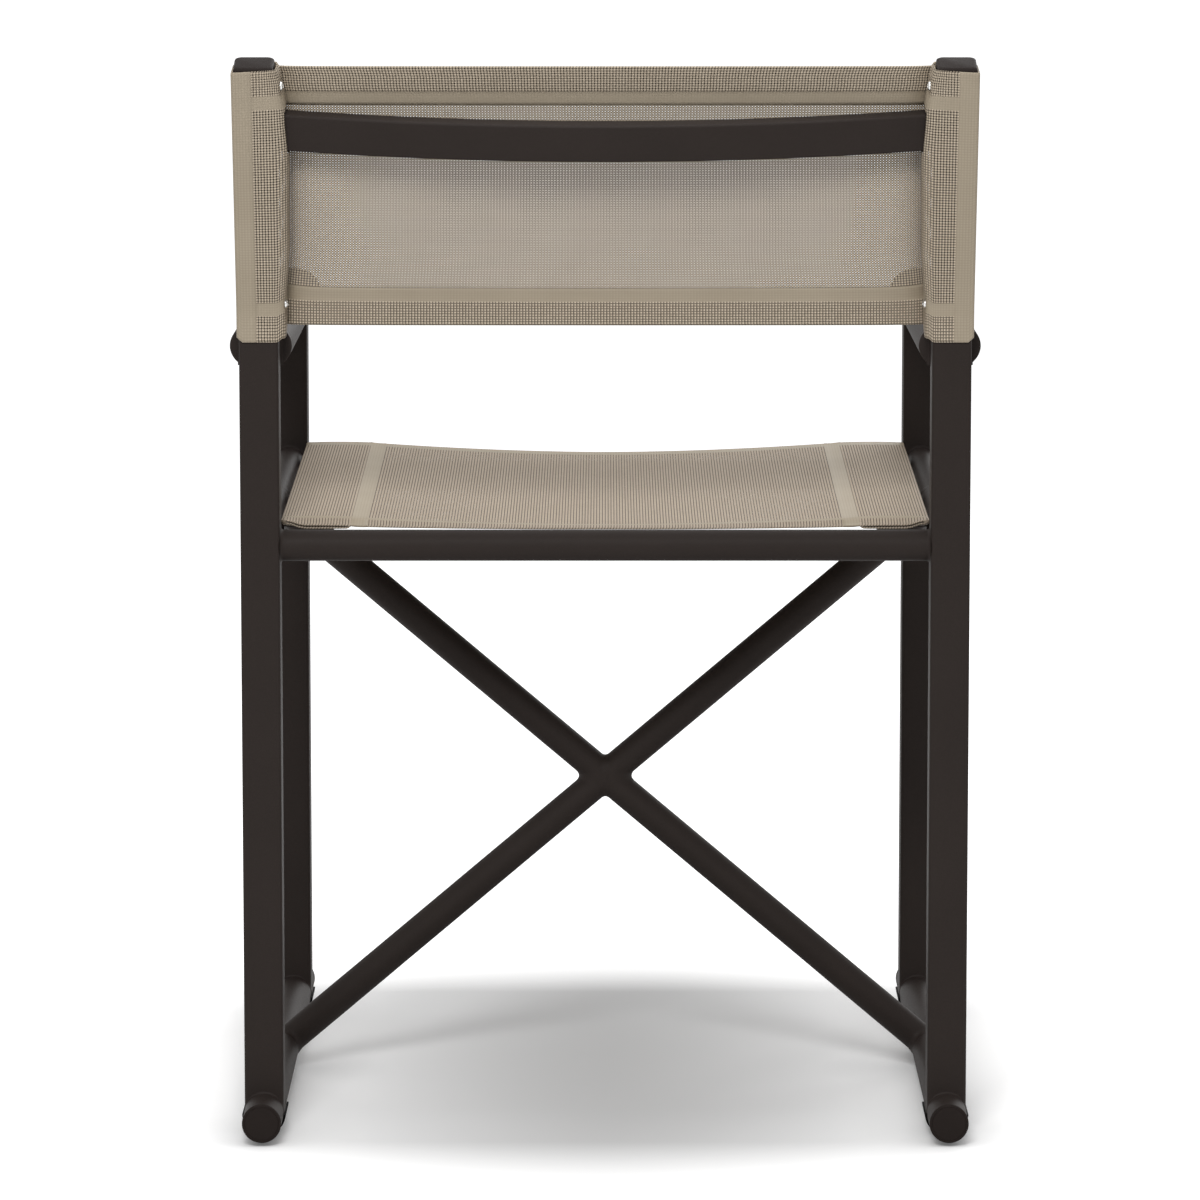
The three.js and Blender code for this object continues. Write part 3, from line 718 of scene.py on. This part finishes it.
# Back sling: one strip of woven mesh, a plain weave of coated yarn. It passes in front of the
# rear posts and is closed round each as a sleeve. Its hems are turned in and heat-welded flat.
yarn_across = 0.00224
yarn_up = 0.00196
cloth_thickness = 0.0006
sleeve_offset = 0.0163
sleeve_bottom_rear = 0.6150
sleeve_bottom_front = 0.6300
panel_bottom = 0.6262
top_hem = 0.030
bottom_hem = 0.028
hem_weld = 0.0105
weld_step = 0.0004
weld_press = 0.00032
fold_radius = 0.00045
hem_fold = [math.pi * step / 5 for step in range(1, 5)]


def weave_material(name, warp_cover, weft_cover, warp_painted_shade, weft_painted_shade, pit_painted_shade, shine, dark, light):
    """Plain weave. A cover is how much of half a pitch the yarn fills, and the rest is the hole. The three
    painted shades are how dark the colour is painted in the grooves beside the yarns and in the pits between
    them, shine is the yarn's gloss, and dark and light are the ends of its colour."""
    made, tree, shader = new_material(name)
    weave = add_node(tree, "SeparateXYZ", {0: add_node(tree, "UVMap", uv_map="weave").outputs[0]})
    welded = add_value(tree, "Attribute", output="Fac", attribute_name="welded")

    def yarn(axis, pitch, cover, groove_shade):
        """A yarn's number, its round back as a pair of ends, the gap beside it, its wave over and under the
        crossing yarns, how far beside it a place lies, and the painted shade there."""
        count = Value(tree, weave.outputs[axis]) / pitch
        offset = count.apply("FRACT") - 0.5
        away = offset.apply("ABSOLUTE")
        end = (away - cover / 2) / (cover / 2)
        back = (1 - end.apply("POWER", 2)).apply("MAXIMUM", 0).apply("SQRT")
        gap = (away - cover) * (pitch * 1000)
        wave = (offset * math.pi).apply("COSINE")
        beside = away.ramp(cover * 0.6, 0.5)
        return count.apply("FLOOR"), back, gap, wave, beside, beside * (groove_shade - 1) + 1

    warp, warp_back, warp_gap, warp_wave, warp_side, warp_groove_shade = yarn(
        "X", yarn_across, warp_cover, warp_painted_shade
    )
    weft, weft_back, weft_gap, weft_wave, weft_side, weft_groove_shade = yarn("Y", yarn_up, weft_cover, weft_painted_shade)
    pit_shade = warp_side * weft_side * (pit_painted_shade - 1) + 1
    rise = ((warp + weft).apply("PINGPONG", 1) * 2 - 1) * 0.55
    relief = (warp_back + rise * weft_wave + 0.18).apply("MAXIMUM", weft_back - rise * warp_wave) * 0.5
    flat = 1 - welded * 0.86
    hole = warp_gap.apply("MINIMUM", weft_gap).ramp(0, 0.05) * welded.apply("LESS_THAN", 0.5)
    feed(tree, shader, {"Alpha": 1 - hole})

    cloud = noise(tree, 22, 3)
    number = add_node(tree, "CombineXYZ", {0: warp, 1: weft}).outputs[0]
    tint = add_value(tree, "TexWhiteNoise", {0: number}, noise_dimensions="2D")
    woven = two_tone(tint * 0.45 + cloud * 0.55, dark, light)
    melted = two_tone(cloud, (0.386, 0.324, 0.240), (0.444, 0.378, 0.285))
    # Painted shade: the colour is darkened where the yarns lie low, in the grooves beside them and most in
    # the pits between them, and much less where the cloth is welded flat.
    shade = relief.ramp(0.25, 0.8, 0.66, 1) * (warp_groove_shade * weft_groove_shade) * pit_shade
    shade = (shade - 0.96) * flat + 0.96
    colour = blend(tree, 1.0, blend(tree, welded, woven, melted), shade, "MULTIPLY")
    finish(shader, colour, 0.66 - welded * 0.14, relief * flat, 0.8, 0.0005)
    shader.inputs["Specular IOR Level"].default_value = shine
    return made


back_weave = weave_material(
    "back_weave",
    warp_cover=0.308,
    weft_cover=0.298,
    warp_painted_shade=0.34,
    weft_painted_shade=0.38,
    pit_painted_shade=0.16,
    shine=0.22,
    dark=(0.608, 0.506, 0.382),
    light=(0.744, 0.628, 0.486),
)


def hem_slip(kind, value):
    """The turned-in hem lies half a yarn to the side of the cloth that it backs."""
    if kind.endswith("hem"):
        return yarn_across / 2
    return yarn_across / 2 * value / math.pi if kind.endswith("fold") else 0.0


def cloth_piece(node, material, columns, rows, row_kinds, place, cell_gone=None):
    """A grid of cloth. columns and rows give each line's place in the weave. place gives a point, and
    how far the cloth is welded flat there. cell_gone says which cells are cut out."""
    bm = bmesh.new()
    bmesh.ops.create_grid(bm, x_segments=len(columns) - 1, y_segments=len(rows) - 1, size=1)
    uv = bm.loops.layers.uv.new("weave")
    welded = bm.verts.layers.float.new("welded")
    at = {}
    for vert in bm.verts:
        column = round((vert.co.x + 1) / 2 * (len(columns) - 1))
        row = round((vert.co.y + 1) / 2 * (len(rows) - 1))
        at[vert] = (column, row)
    gone = []
    for face in bm.faces:
        cell = [min(at[vert][axis] for vert in face.verts) for axis in (0, 1)]
        if cell_gone and cell_gone(*cell):
            gone.append(face)
        for loop in face.loops:
            column, row = at[loop.vert]
            loop[uv].uv = (columns[column] + hem_slip(*row_kinds[row]), rows[row])
    for vert, (column, row) in at.items():
        vert.co, vert[welded] = place(column, row)
    bmesh.ops.delete(bm, geom=gone, context="FACES")
    bmesh.ops.recalc_face_normals(bm, faces=bm.faces)
    piece = dress(node, bm, material, "sling", sharp=180)
    thicken = piece.modifiers.new("thickness", "SOLIDIFY")
    thicken.thickness = cloth_thickness
    thicken.offset = 0
    thicken.use_rim = True
    return piece


def between(table, value):
    """Reads a smooth curve through pairs of a place and a value."""
    for (low, first), (high, last) in zip(table, table[1:]):
        if value < high or high == table[-1][0]:
            return first + (last - first) * smooth(value, low, high)


def hemmed_rows(first, last, first_depths, last_depths, body):
    """A cloth's rows: from the end of the first hem, round its fold, over the body, round the last
    fold and back. Each has a kind, and a depth from the edge, a turn or a share of the body."""
    rows = [(first + "_hem", depth) for depth in reversed(first_depths)]
    rows += [(first + "_fold", math.pi - turn) for turn in hem_fold]
    rows += [(first + "_body", depth) for depth in first_depths]
    rows += [("body", share) for share in body]
    rows += [(last + "_body", depth) for depth in reversed(last_depths)]
    rows += [(last + "_fold", turn) for turn in hem_fold]
    return rows + [(last + "_hem", depth) for depth in last_depths]


def hem_place(kind, value, end, inward, weld_edge, stretch=1):
    """A hem row's place, how far it lies inside the cloth's face, and how welded it is."""
    if kind.endswith("fold"):
        return end + inward * fold_radius * (1 - math.sin(value)), fold_radius * (1 - math.cos(value)), 0
    weld = smooth(value, weld_edge - weld_step, weld_edge + weld_step)
    inset = 2 * fold_radius - weld_press * weld if kind.endswith("hem") else 0
    return end + inward * value * stretch, inset, weld


def row_lengths(count, place_of):
    """How far along the cloth each row lies."""
    lengths = [0.0]
    for row in range(1, count):
        lengths.append(lengths[-1] + math.dist(place_of(row - 1)[:2], place_of(row)[:2]))
    return lengths


def unrolled(line):
    """How wide half a section is along the cloth, and where the whole section's columns lie."""
    places = [0.0]
    for before, after in zip(line, line[1:]):
        places.append(places[-1] + math.dist(before[:2], after[:2]))
    half = places[-1]
    places = [place - half for place in places]
    return half, places + [-place for place in reversed(places[:-1])]


def set_in(line, column, inset):
    """The side that a column is on, its point in half a section moved in from the cloth's face,
    and what the point is."""
    middle = len(line) - 1
    index = min(column, 2 * middle - column)
    x, y, kind = line[index]
    before, after = line[max(index - 1, 0)], line[min(index + 1, middle)]
    run = Vector((after[0] - before[0], after[1] - before[1])).normalized()
    inward = Vector((-run.y, run.x)) if index < middle else Vector((0, -1))
    return 1 if column <= middle else -1, x + inward.x * inset, y + inward.y * inset, kind


sling_screws = {"lower": 0.645, "upper": 0.818944}
sling_screw_forward = -0.007
sling_screw_seat = 0.0198
slot_half = 0.0185
slot_shift = 0.0024
slot_rear = -0.0105
sleeve_fullness = (
    (0.615, 0.0042), (0.645, 0.0044), (0.690, 0.0075), (0.765, 0.0088), (0.800, 0.0068), (0.820, 0.0040),
    (0.834, 0.0012),
)


def sling_section(length):
    """The sling's line round the left post and half the panel, at one length up the post: points with x
    across from the middle of the chair and y forward of the post's centre, and what each point is."""
    fullness = between(sleeve_fullness, length)
    seam_x = post_x - sleeve_offset - fullness
    loop = [(seam_x + 0.0006, 0.0125)]
    loop += [(seam_x, forward) for forward in (0.0100, 0.0060, 0.0020, -0.0010)]
    power = 2 / (4.3 - 110 * fullness)
    for step in range(1, 14):
        turn = math.pi / 2 * (step / 14) ** 1.15
        across = 0.0060 + (sleeve_offset - 0.0060 + fullness) * math.cos(turn) ** power
        loop.append((post_x - across, -0.0040 - (sleeve_offset - 0.0040) * math.sin(turn) ** power))

    # the screws draw the sleeve in against the post
    line = []
    for x, forward in loop:
        away = min((length - place) ** 2 for place in sling_screws.values())
        away += (forward - sling_screw_forward) ** 2
        drawn = min(1.5 * math.exp(-away / (2 * 0.0042 ** 2)), 1)
        line.append((x + max(post_x - sling_screw_seat + 0.0004 - x, 0) * drawn, forward, "inner"))
    line += [(post_x + across, -sleeve_offset, "rear") for across in (-0.006, -0.0035, -0.001, 0.0014)]
    lap = -sleeve_offset - 0.0003
    line += [(post_x + across, lap, "lap") for across in (0.0016, 0.005, 0.0085, 0.012)]
    corner = 0.0013
    inside = sleeve_offset - corner
    for step in range(4):
        turn = 1.5 * math.pi + step / 3 * math.pi / 2
        line.append((post_x + inside + corner * math.cos(turn), -inside + corner * math.sin(turn), "lap"))
    outer = (-0.0132, -0.0100, -0.0050, 0, 0.0050, 0.0100)
    line += [(post_x + sleeve_offset, forward, "outer") for forward in outer]
    for step in range(4):
        turn = step / 3 * math.pi / 2
        line.append((post_x + inside + corner * math.cos(turn), inside + corner * math.sin(turn), "front"))
    front = (0.010, 0.005, 0, -0.005, -0.010, -0.014)
    line += [(post_x + across, sleeve_offset, "front") for across in front]
    for share in (0.25, 0.5, 0.75):
        x = post_x - 0.0145 + (seam_x - post_x + 0.0145) * share
        line.append((x, sleeve_offset - 0.0024 * share ** 1.6, "front"))
    bays = [0, 0.0015, 0.0035, 0.006, 0.009, 0.012, 0.016, 0.020, 0.025, 0.031, 0.039, 0.048]
    bays += [0.048 + (seam_x - 0.048) * step / 20 for step in range(1, 21)]
    for inward in bays:
        x = seam_x - inward
        sunk = 0.0078 * (1 - math.exp(-inward / 0.011)) + 0.003 * (1 - (x / seam_x) ** 2)
        line.append((x, 0.0139 - sunk, "panel"))
    return line


flat_line = sling_section(0.72)
flat_seam = post_x - sleeve_offset - between(sleeve_fullness, 0.72)
middle_index = len(flat_line) - 1
half_width, column_weave = unrolled(flat_line)
low_weld = bottom_hem - hem_weld
high_weld = top_hem - hem_weld
low_depths = [0.0012, 0.005, 0.009, 0.013, low_weld - weld_step, low_weld + weld_step, 0.0205, 0.023, 0.0255]
high_depths = [0.0012, 0.0045, 0.0075, 0.0105, 0.0135, 0.0165, high_weld - weld_step, high_weld + weld_step]
high_depths += [0.0225, 0.025, 0.0275, top_hem]
body_shares = [(1 - math.cos(math.pi * step / 40)) / 2 for step in range(41)]
sling_rows = hemmed_rows("low", "high", low_depths + [bottom_hem], high_depths, body_shares)


def flat_place(column):
    return flat_line[min(column, 2 * middle_index - column)]


def panel_share(column):
    """How far into the panel a column lies, from 0 on the sleeve to 1 on the panel."""
    x, forward, kind = flat_place(column)
    if kind == "inner":
        return smooth(forward, 0.004, 0.0125)
    if kind in ("rear", "lap", "outer"):
        return 0.0
    return 1 - smooth(x, flat_seam, flat_seam + 0.005)


def sling_edges(column):
    """The lengths up the post of the cloth's lower and upper edge, at a column."""
    x, forward, kind = flat_place(column)
    front = min(max((forward + sleeve_offset) / (2 * sleeve_offset), 0), 1)
    inward = min(max((post_x + sleeve_offset - x) / (2 * sleeve_offset), 0), 1)
    low = sleeve_bottom_rear + (sleeve_bottom_front - sleeve_bottom_rear) * front ** 2
    low += 0.0034 * smooth(x - post_x, 0.0125, sleeve_offset) * (1 - front)
    low += 0.0030 * smooth(post_x - x, 0.0150, 0.0215) * (1 - front)
    high = 0.8320 + 0.0018 * inward - front * (0.0042 - 0.0009 * inward)
    share = panel_share(column)
    level = 0.8311 - (forward - 0.003) * math.tan(rake)
    return low + (panel_bottom - low) * share, high + (level - high) * share


def hem_stretch(column):
    """How much more of the post the bottom hem takes up behind it, on the inside of the bend."""
    x, forward, kind = flat_place(column)
    return 1 + 0.2 * (1 - panel_share(column)) * smooth(-forward, -sleeve_offset, sleeve_offset)


def row_place(column, row):
    """A row's length up the post, how far it lies inside the cloth's face, and how welded it is."""
    low, high = sling_edges(column)
    kind, value = sling_rows[row]
    stretch = hem_stretch(column)
    if kind == "body":
        start, end = low + bottom_hem * stretch + weld_step, high - top_hem - weld_step
        return start + (end - start) * value, 0, 0
    if kind.startswith("low"):
        return hem_place(kind, value, low, 1, low_weld, stretch)
    return hem_place(kind, value, high, -1, high_weld)


def sling_point(column, row):
    """A point of the sling, and how far it is welded flat."""
    length, inset, weld = row_place(column, row)
    sign, x, forward, kind = set_in(sling_section(length), column, inset)
    return post_station(length) @ Vector((sign * x, -forward, 0)), max(weld, 0.95 if kind == "lap" else 0)


def slot_cell(column, row):
    """The cells cut from the sleeve's inner wall, where the back rail passes through."""
    index = min(column, 2 * middle_index - 1 - column)
    x, forward, kind = flat_line[index]
    if kind != "inner" or forward < slot_rear or index < 1 or sling_rows[row][0] != "body":
        return False
    return abs(row_place(column, row)[0] + slot_shift - back_rail_length) < slot_half


row_weave = row_lengths(len(sling_rows), lambda row: row_place(middle_index, row))
back_sling = cloth_piece(
    "back_sling", back_weave, column_weave, row_weave, sling_rows, sling_point, slot_cell
)

# Seat sling: the same cloth, with its sides turned under into pockets that hold flat battens, and
# its front and rear edges hemmed.
seat_tilt = math.atan2(seat_front.z - seat_rear.z, seat_rear.y - seat_front.y)
seat_station = Matrix.Translation(seat_rear) @ Matrix.Rotation(-seat_tilt, 4, "X")
seat_length = 0.41019
fold_x = 0.249
pocket_under = 0.0110
seat_hem = 0.018
seat_weld = 0.0045
seat_corner = 0.004
seat_edge_rear = 0.003
seat_edge_front = -seat_length - 0.003
band_outer = 0.1944
band_inner = 0.1819
band_drop = 0.0012
pocket_settle = 0.0037
pocket_places = (0.202, 0.208, 0.216, 0.224, 0.230, 0.235, 0.239, 0.242, 0.2445)


def seat_top(along):
    """The height of the pockets' top over the side rails' centres."""
    return 0.0181 - 0.0017 * (-along / seat_length)


def seat_section(along):
    """Half of the seat's line across, from the end of the under layer to the middle."""
    top = seat_top(along) - cloth_thickness / 2
    low = pocket_under + cloth_thickness / 2
    rear_end, front_end = seat_edge_rear - along, along - seat_edge_front
    flattened = 1 - smooth(rear_end, 0.002, 0.019) * smooth(front_end, 0.001, 0.0085)
    share = -along / seat_length
    sag = 0.0048 + 0.0022 * share + 0.0012 * math.sin(math.pi * min(max(share, 0), 1))

    def settle(x, height, upper):
        """Flattens the pocket's ends: up against the top layer in front, and at the rear down to the
        under layer, except near the outer fold."""
        near_fold = smooth(x, fold_x - 0.020, fold_x - 0.001) if along > -seat_length / 2 else 1
        if upper:
            spread_in = min(1, (abs(x) / 0.200) ** 1.5)
            return height - pocket_settle * flattened * spread_in * (1 - near_fold)
        return height + pocket_settle * flattened * near_fold

    def band_top(x):
        return settle(x, top - band_drop * smooth(-x, -0.1990, -0.1850), True)

    line = []
    for x in (band_inner + 0.0004, 0.1850, 0.1880, 0.1910, band_outer):
        line.append((x, band_top(x) - cloth_thickness - 0.00005, "under_band"))
    for x, share in ((band_outer + 0.0004, 0.1), (0.1956, 0.4), (0.1966, 0.75), (0.1980, 0.96)):
        upper = band_top(x) - cloth_thickness
        lower = settle(x, low, False)
        line.append((x, upper + (lower - upper) * share, "under"))
    line += [(x, settle(x, low, False), "under") for x in pocket_places]
    rise_low, rise_top = settle(fold_x, low, False), settle(fold_x, top, True)
    half = (rise_top - rise_low) / 2
    reach = min(half, 0.0030)
    for step in range(1, 8):
        turn = -math.pi / 2 + math.pi * step / 8
        x = fold_x - 0.0003 - reach * (1 - math.cos(turn))
        line.append((x, rise_low + half * (1 + math.sin(turn)), "fold"))
    for x in reversed(pocket_places):
        line.append((x, settle(x, top + 0.0004 * math.sin((x - 0.197) / 0.05 * math.pi), True), "top"))
    line += [(x, band_top(x), "top") for x in (0.1980, 0.1960, band_outer + 0.0004)]
    line += [(x, band_top(x), "band") for x in (band_outer, 0.1910, 0.1880, 0.1850, band_inner)]
    for share in (0.0022, *(step / 24 for step in range(1, 25))):
        x = band_inner * (1 - share)
        height = top - band_drop - sag * (1 - (x / band_inner) ** 1.8)
        line.append((x, settle(x, height, True), "panel"))
    return line


seat_flat = seat_section(-seat_length / 2)
seat_half_width, seat_columns = unrolled(seat_flat)
seat_edge = seat_hem - seat_weld
seat_depths = [0.0012, 0.003, 0.005, 0.0075, 0.010, 0.0118]
seat_depths += [seat_edge - weld_step, seat_edge + weld_step, 0.0158, seat_hem]
seat_rows = hemmed_rows("rear", "front", seat_depths, seat_depths, [step / 30 for step in range(31)])


def seat_row_place(row):
    """A row's place along the seat, how far it lies inside the cloth's face, and how welded it is."""
    kind, value = seat_rows[row]
    if kind == "body":
        start, stop = seat_edge_rear - seat_hem - weld_step, seat_edge_front + seat_hem + weld_step
        return start + (stop - start) * value, 0, 0
    if kind.startswith("rear"):
        return hem_place(kind, value, seat_edge_rear, -1, seat_edge)
    return hem_place(kind, value, seat_edge_front, 1, 0.002)


def seat_point(column, row):
    """A point of the seat, and how far it is welded flat."""
    along, inset, weld = seat_row_place(row)
    sign, x, height, kind = set_in(seat_section(along), column, inset)
    end = min(seat_edge_rear - along, along - seat_edge_front, seat_corner)
    rounding = seat_corner - math.sqrt(seat_corner ** 2 - (seat_corner - end) ** 2)
    x -= rounding * smooth(x, fold_x - 0.018, fold_x)
    banded = 1.0 if kind in ("band", "under_band") else 0.0
    return seat_station @ Vector((sign * x, along, height)), max(weld, banded)


# Painted shade: the seat's yarn colours are the back's darkened to about four fifths, and its grooves are
# painted much darker, to offset the stronger light that falls on the seat from above.
seat_cover_painted_shade = weave_material(
    "seat_weave",
    warp_cover=0.42,
    weft_cover=0.44,
    warp_painted_shade=0.16,
    weft_painted_shade=0.72,
    pit_painted_shade=0.80,
    shine=0.10,
    dark=(0.490, 0.402, 0.310),
    light=(0.604, 0.504, 0.396),
)
seat_weave = row_lengths(len(seat_rows), seat_row_place)
seat_sling = cloth_piece("seat_sling", seat_cover_painted_shade, seat_columns, seat_weave, seat_rows, seat_point)

# Battens and their brackets: mill-finish flat bar in the seat pockets, lying on short angles that
# are welded to the inner sides of the side rails.
flat_bar, tree, shader = new_material("flat_bar")
lines = noise(tree, 1, 4, stretch=(900, 12, 900))
colour = two_tone(lines, (0.50, 0.50, 0.51), (0.66, 0.66, 0.66))
finish(shader, colour, lines.ramp(0, 1, 0.30, 0.46), lines, 0.3, 0.00005)
shader.inputs["Metallic"].default_value = 1
batten_ends = ("rear", "middle", "front")
for side in sides:
    coated = {f"batten_bracket_{side}_{end}": powder_coat for end in batten_ends}
    for name, material in {f"seat_batten_{side}": flat_bar, **coated}.items():
        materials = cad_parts[name].data.materials
        materials.clear()
        materials.append(material)

# Screws: stainless, with a low domed head and a hexagon socket. Two pin each sleeve to the post's
# inner face, and three hold each batten from below.
stainless, tree, shader = new_material("stainless")
brushed = noise(tree, 2200, 3)
colour = two_tone(brushed, (0.56, 0.56, 0.55), (0.72, 0.72, 0.70))
feed(tree, shader, {"Base Color": colour, "Roughness": brushed.ramp(0, 1, 0.20, 0.34), "Metallic": 1})


sling_screw_size = {
    "head_radius": 0.0036, "head_height": 0.0024, "shank_radius": 0.0020, "shank_length": 0.0126
}
batten_screw_size = {
    "head_radius": 0.0045, "head_height": 0.0025, "shank_radius": 0.0025, "shank_length": 0.0078
}
batten_screw_seat = 0.0072


def screw(name, station, head_radius, head_height, shank_radius, shank_length):
    """A screw with its head above the station and its shank below."""
    turns = [math.pi * step / 18 for step in range(36)]
    dome = math.radians(62)
    outline = [(shank_radius, -shank_length), (shank_radius, 0), (head_radius * 0.96, 0)]
    outline.append((head_radius, head_height * 0.12))
    for step in range(7):
        rise = dome * step / 6
        height = head_height * (0.2 + 0.8 * math.sin(rise) / math.sin(dome))
        outline.append((head_radius * math.cos(rise) ** 0.8, height))
    rings = [([radius] * 36, height) for radius, height in outline]
    corners = [(turn + math.pi / 6) % (math.pi / 3) - math.pi / 6 for turn in turns]
    socket = [head_radius * 0.5 / math.cos(corner) for corner in corners]
    rings += [(socket, head_height), (socket, head_height * 0.35)]
    places = []
    for radii, height in rings:
        ring = [(r * math.cos(turn), r * math.sin(turn), height) for r, turn in zip(radii, turns)]
        places.append([station @ Vector(point) for point in ring])
    lofted(name, places, stainless, "screws", sharp=35)


for side, sign in sides.items():
    for end, length in sling_screws.items():
        face = Matrix.Translation((-sign * sling_screw_seat, -sling_screw_forward, 0))
        face = face @ Matrix.Rotation(-sign * math.pi / 2, 4, "Y")
        station = post_station(length, sign * post_x) @ face
        screw(f"sling_screw_{side}_{end}", station, **sling_screw_size)
    for end in batten_ends:
        low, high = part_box(f"batten_screw_{side}_{end}")
        middle = (low + high) / 2
        local = seat_station.inverted() @ middle
        head = Matrix.Translation((local.x, local.y, batten_screw_seat)) @ Matrix.Rotation(math.pi, 4, "X")
        screw(f"batten_screw_{side}_{end}", seat_station @ head, **batten_screw_size)

# Studio: a pale floor in a white surround. The floor glows to the camera and in reflections. Under the chair
# the glow fades out, which paints a shadow there over the real one that the lamps cast, and close to the
# chair it is dimmed as painted contact shadow. One soft lamp hangs over the chair, one stands behind it and
# one before it.
floor_mesh = bpy.data.meshes.new("floor")
bm = bmesh.new()
bmesh.ops.create_grid(bm, x_segments=1, y_segments=1, size=30)
bm.to_mesh(floor_mesh)
bm.free()
floor = bpy.data.objects.new("floor", floor_mesh)
bpy.context.scene.collection.objects.link(floor)
floor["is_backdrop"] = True
shadow_half_width = 0.408
shadow_rear = (0.245, 0.48)
shadow_front = (-0.31, -0.48)


def seen_in(tree, *rays):
    """1 for the rays that show a thing, and 0 for those that carry its light to others."""
    paths = add_node(tree, "LightPath").outputs
    seen = Value(tree, paths["Is Camera Ray"])
    for ray in rays:
        seen = seen.apply("MAXIMUM", paths[ray])
    return seen


made, tree, shader = new_material("pale_floor_painted_shadow")
floor_mesh.materials.append(made)
tree.nodes.remove(shader)
place = add_node(tree, "TexCoord").outputs["Object"]
position = add_node(tree, "SeparateXYZ", {0: place}).outputs
# Painted shadow: the floor's glow is withheld in a patch under the chair. It is strongest in the middle and
# fades in towards the sides, behind the rear feet and before the front ones.
across = (Value(tree, position["X"]).apply("ABSOLUTE") * (1 / shadow_half_width)).apply("POWER", 1.7)
along = Value(tree, position["Y"])
outside_painted_shadow = (across + along.ramp(*shadow_rear) + along.ramp(*shadow_front)).apply("MINIMUM", 1)
# Painted contact shadow: ambient occlusion dims the glow close to the chair.
painted_contact_shadow = add_value(tree, "AmbientOcclusion", {"Distance": 0.06}, output="AO", samples=8)
strength = seen_in(tree, "Is Glossy Ray") * (outside_painted_shadow * 0.87 * painted_contact_shadow)
glow = add_node(tree, "Emission", {"Strength": strength})
diffuse = add_node(tree, "BsdfDiffuse", {"Color": (0.75, 0.75, 0.75, 1)})
both = add_node(tree, "AddShader", {0: diffuse.outputs[0], 1: glow.outputs[0]})
feed(tree, tree.nodes["Material Output"], {"Surface": both.outputs[0]})

world = bpy.data.worlds.new("surround")
bpy.context.scene.world = world
world.use_nodes = True
tree = world.node_tree
seen = seen_in(tree, "Is Glossy Ray", "Is Transmission Ray")
feed(tree, tree.nodes["Background"], {"Color": (1, 1, 1, 1), "Strength": seen.ramp(0, 1, 0.36, 1)})


def hold(data, place, direction):
    """Puts a lamp or the camera at a place, turned to look in a direction."""
    holder = bpy.data.objects.new(data.name, data)
    bpy.context.scene.collection.objects.link(holder)
    holder.matrix_world = Matrix.Translation(place) @ facing(direction, "-Z")
    return holder


def add_lamp(name, place, target, size, energy):
    lamp = bpy.data.lights.new(name, "AREA")
    lamp.shape = "SQUARE"
    lamp.size = size
    lamp.energy = energy
    hold(lamp, place, Vector(target) - Vector(place))


add_lamp("overhead", place=(0, 0.1, 2.6), target=(0, 0, 0), size=1.1, energy=18)
add_lamp("behind", place=(0.4, 2.9, 2.5), target=(0, 0, 0.45), size=1.0, energy=59)
add_lamp("before", place=(-1.2, -3.2, 1.9), target=(0, 0, 0.45), size=2.0, energy=30)

# Camera: behind the chair and a little above its back, looking slightly down through a long lens.
camera_place = (0, 4.786728, 1.077648)
camera = bpy.data.cameras.new("camera")
camera.sensor_width = 36
camera.lens = 181.373
camera.shift_x = -0.00442
camera.shift_y = -0.07
camera.clip_end = 100
pitch = math.radians(7.4381)
aim = Vector((0, -math.cos(pitch), -math.sin(pitch)))
bpy.context.scene.camera = hold(camera, camera_place, aim)
bpy.context.scene.view_settings.view_transform = "Standard"

low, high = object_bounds()
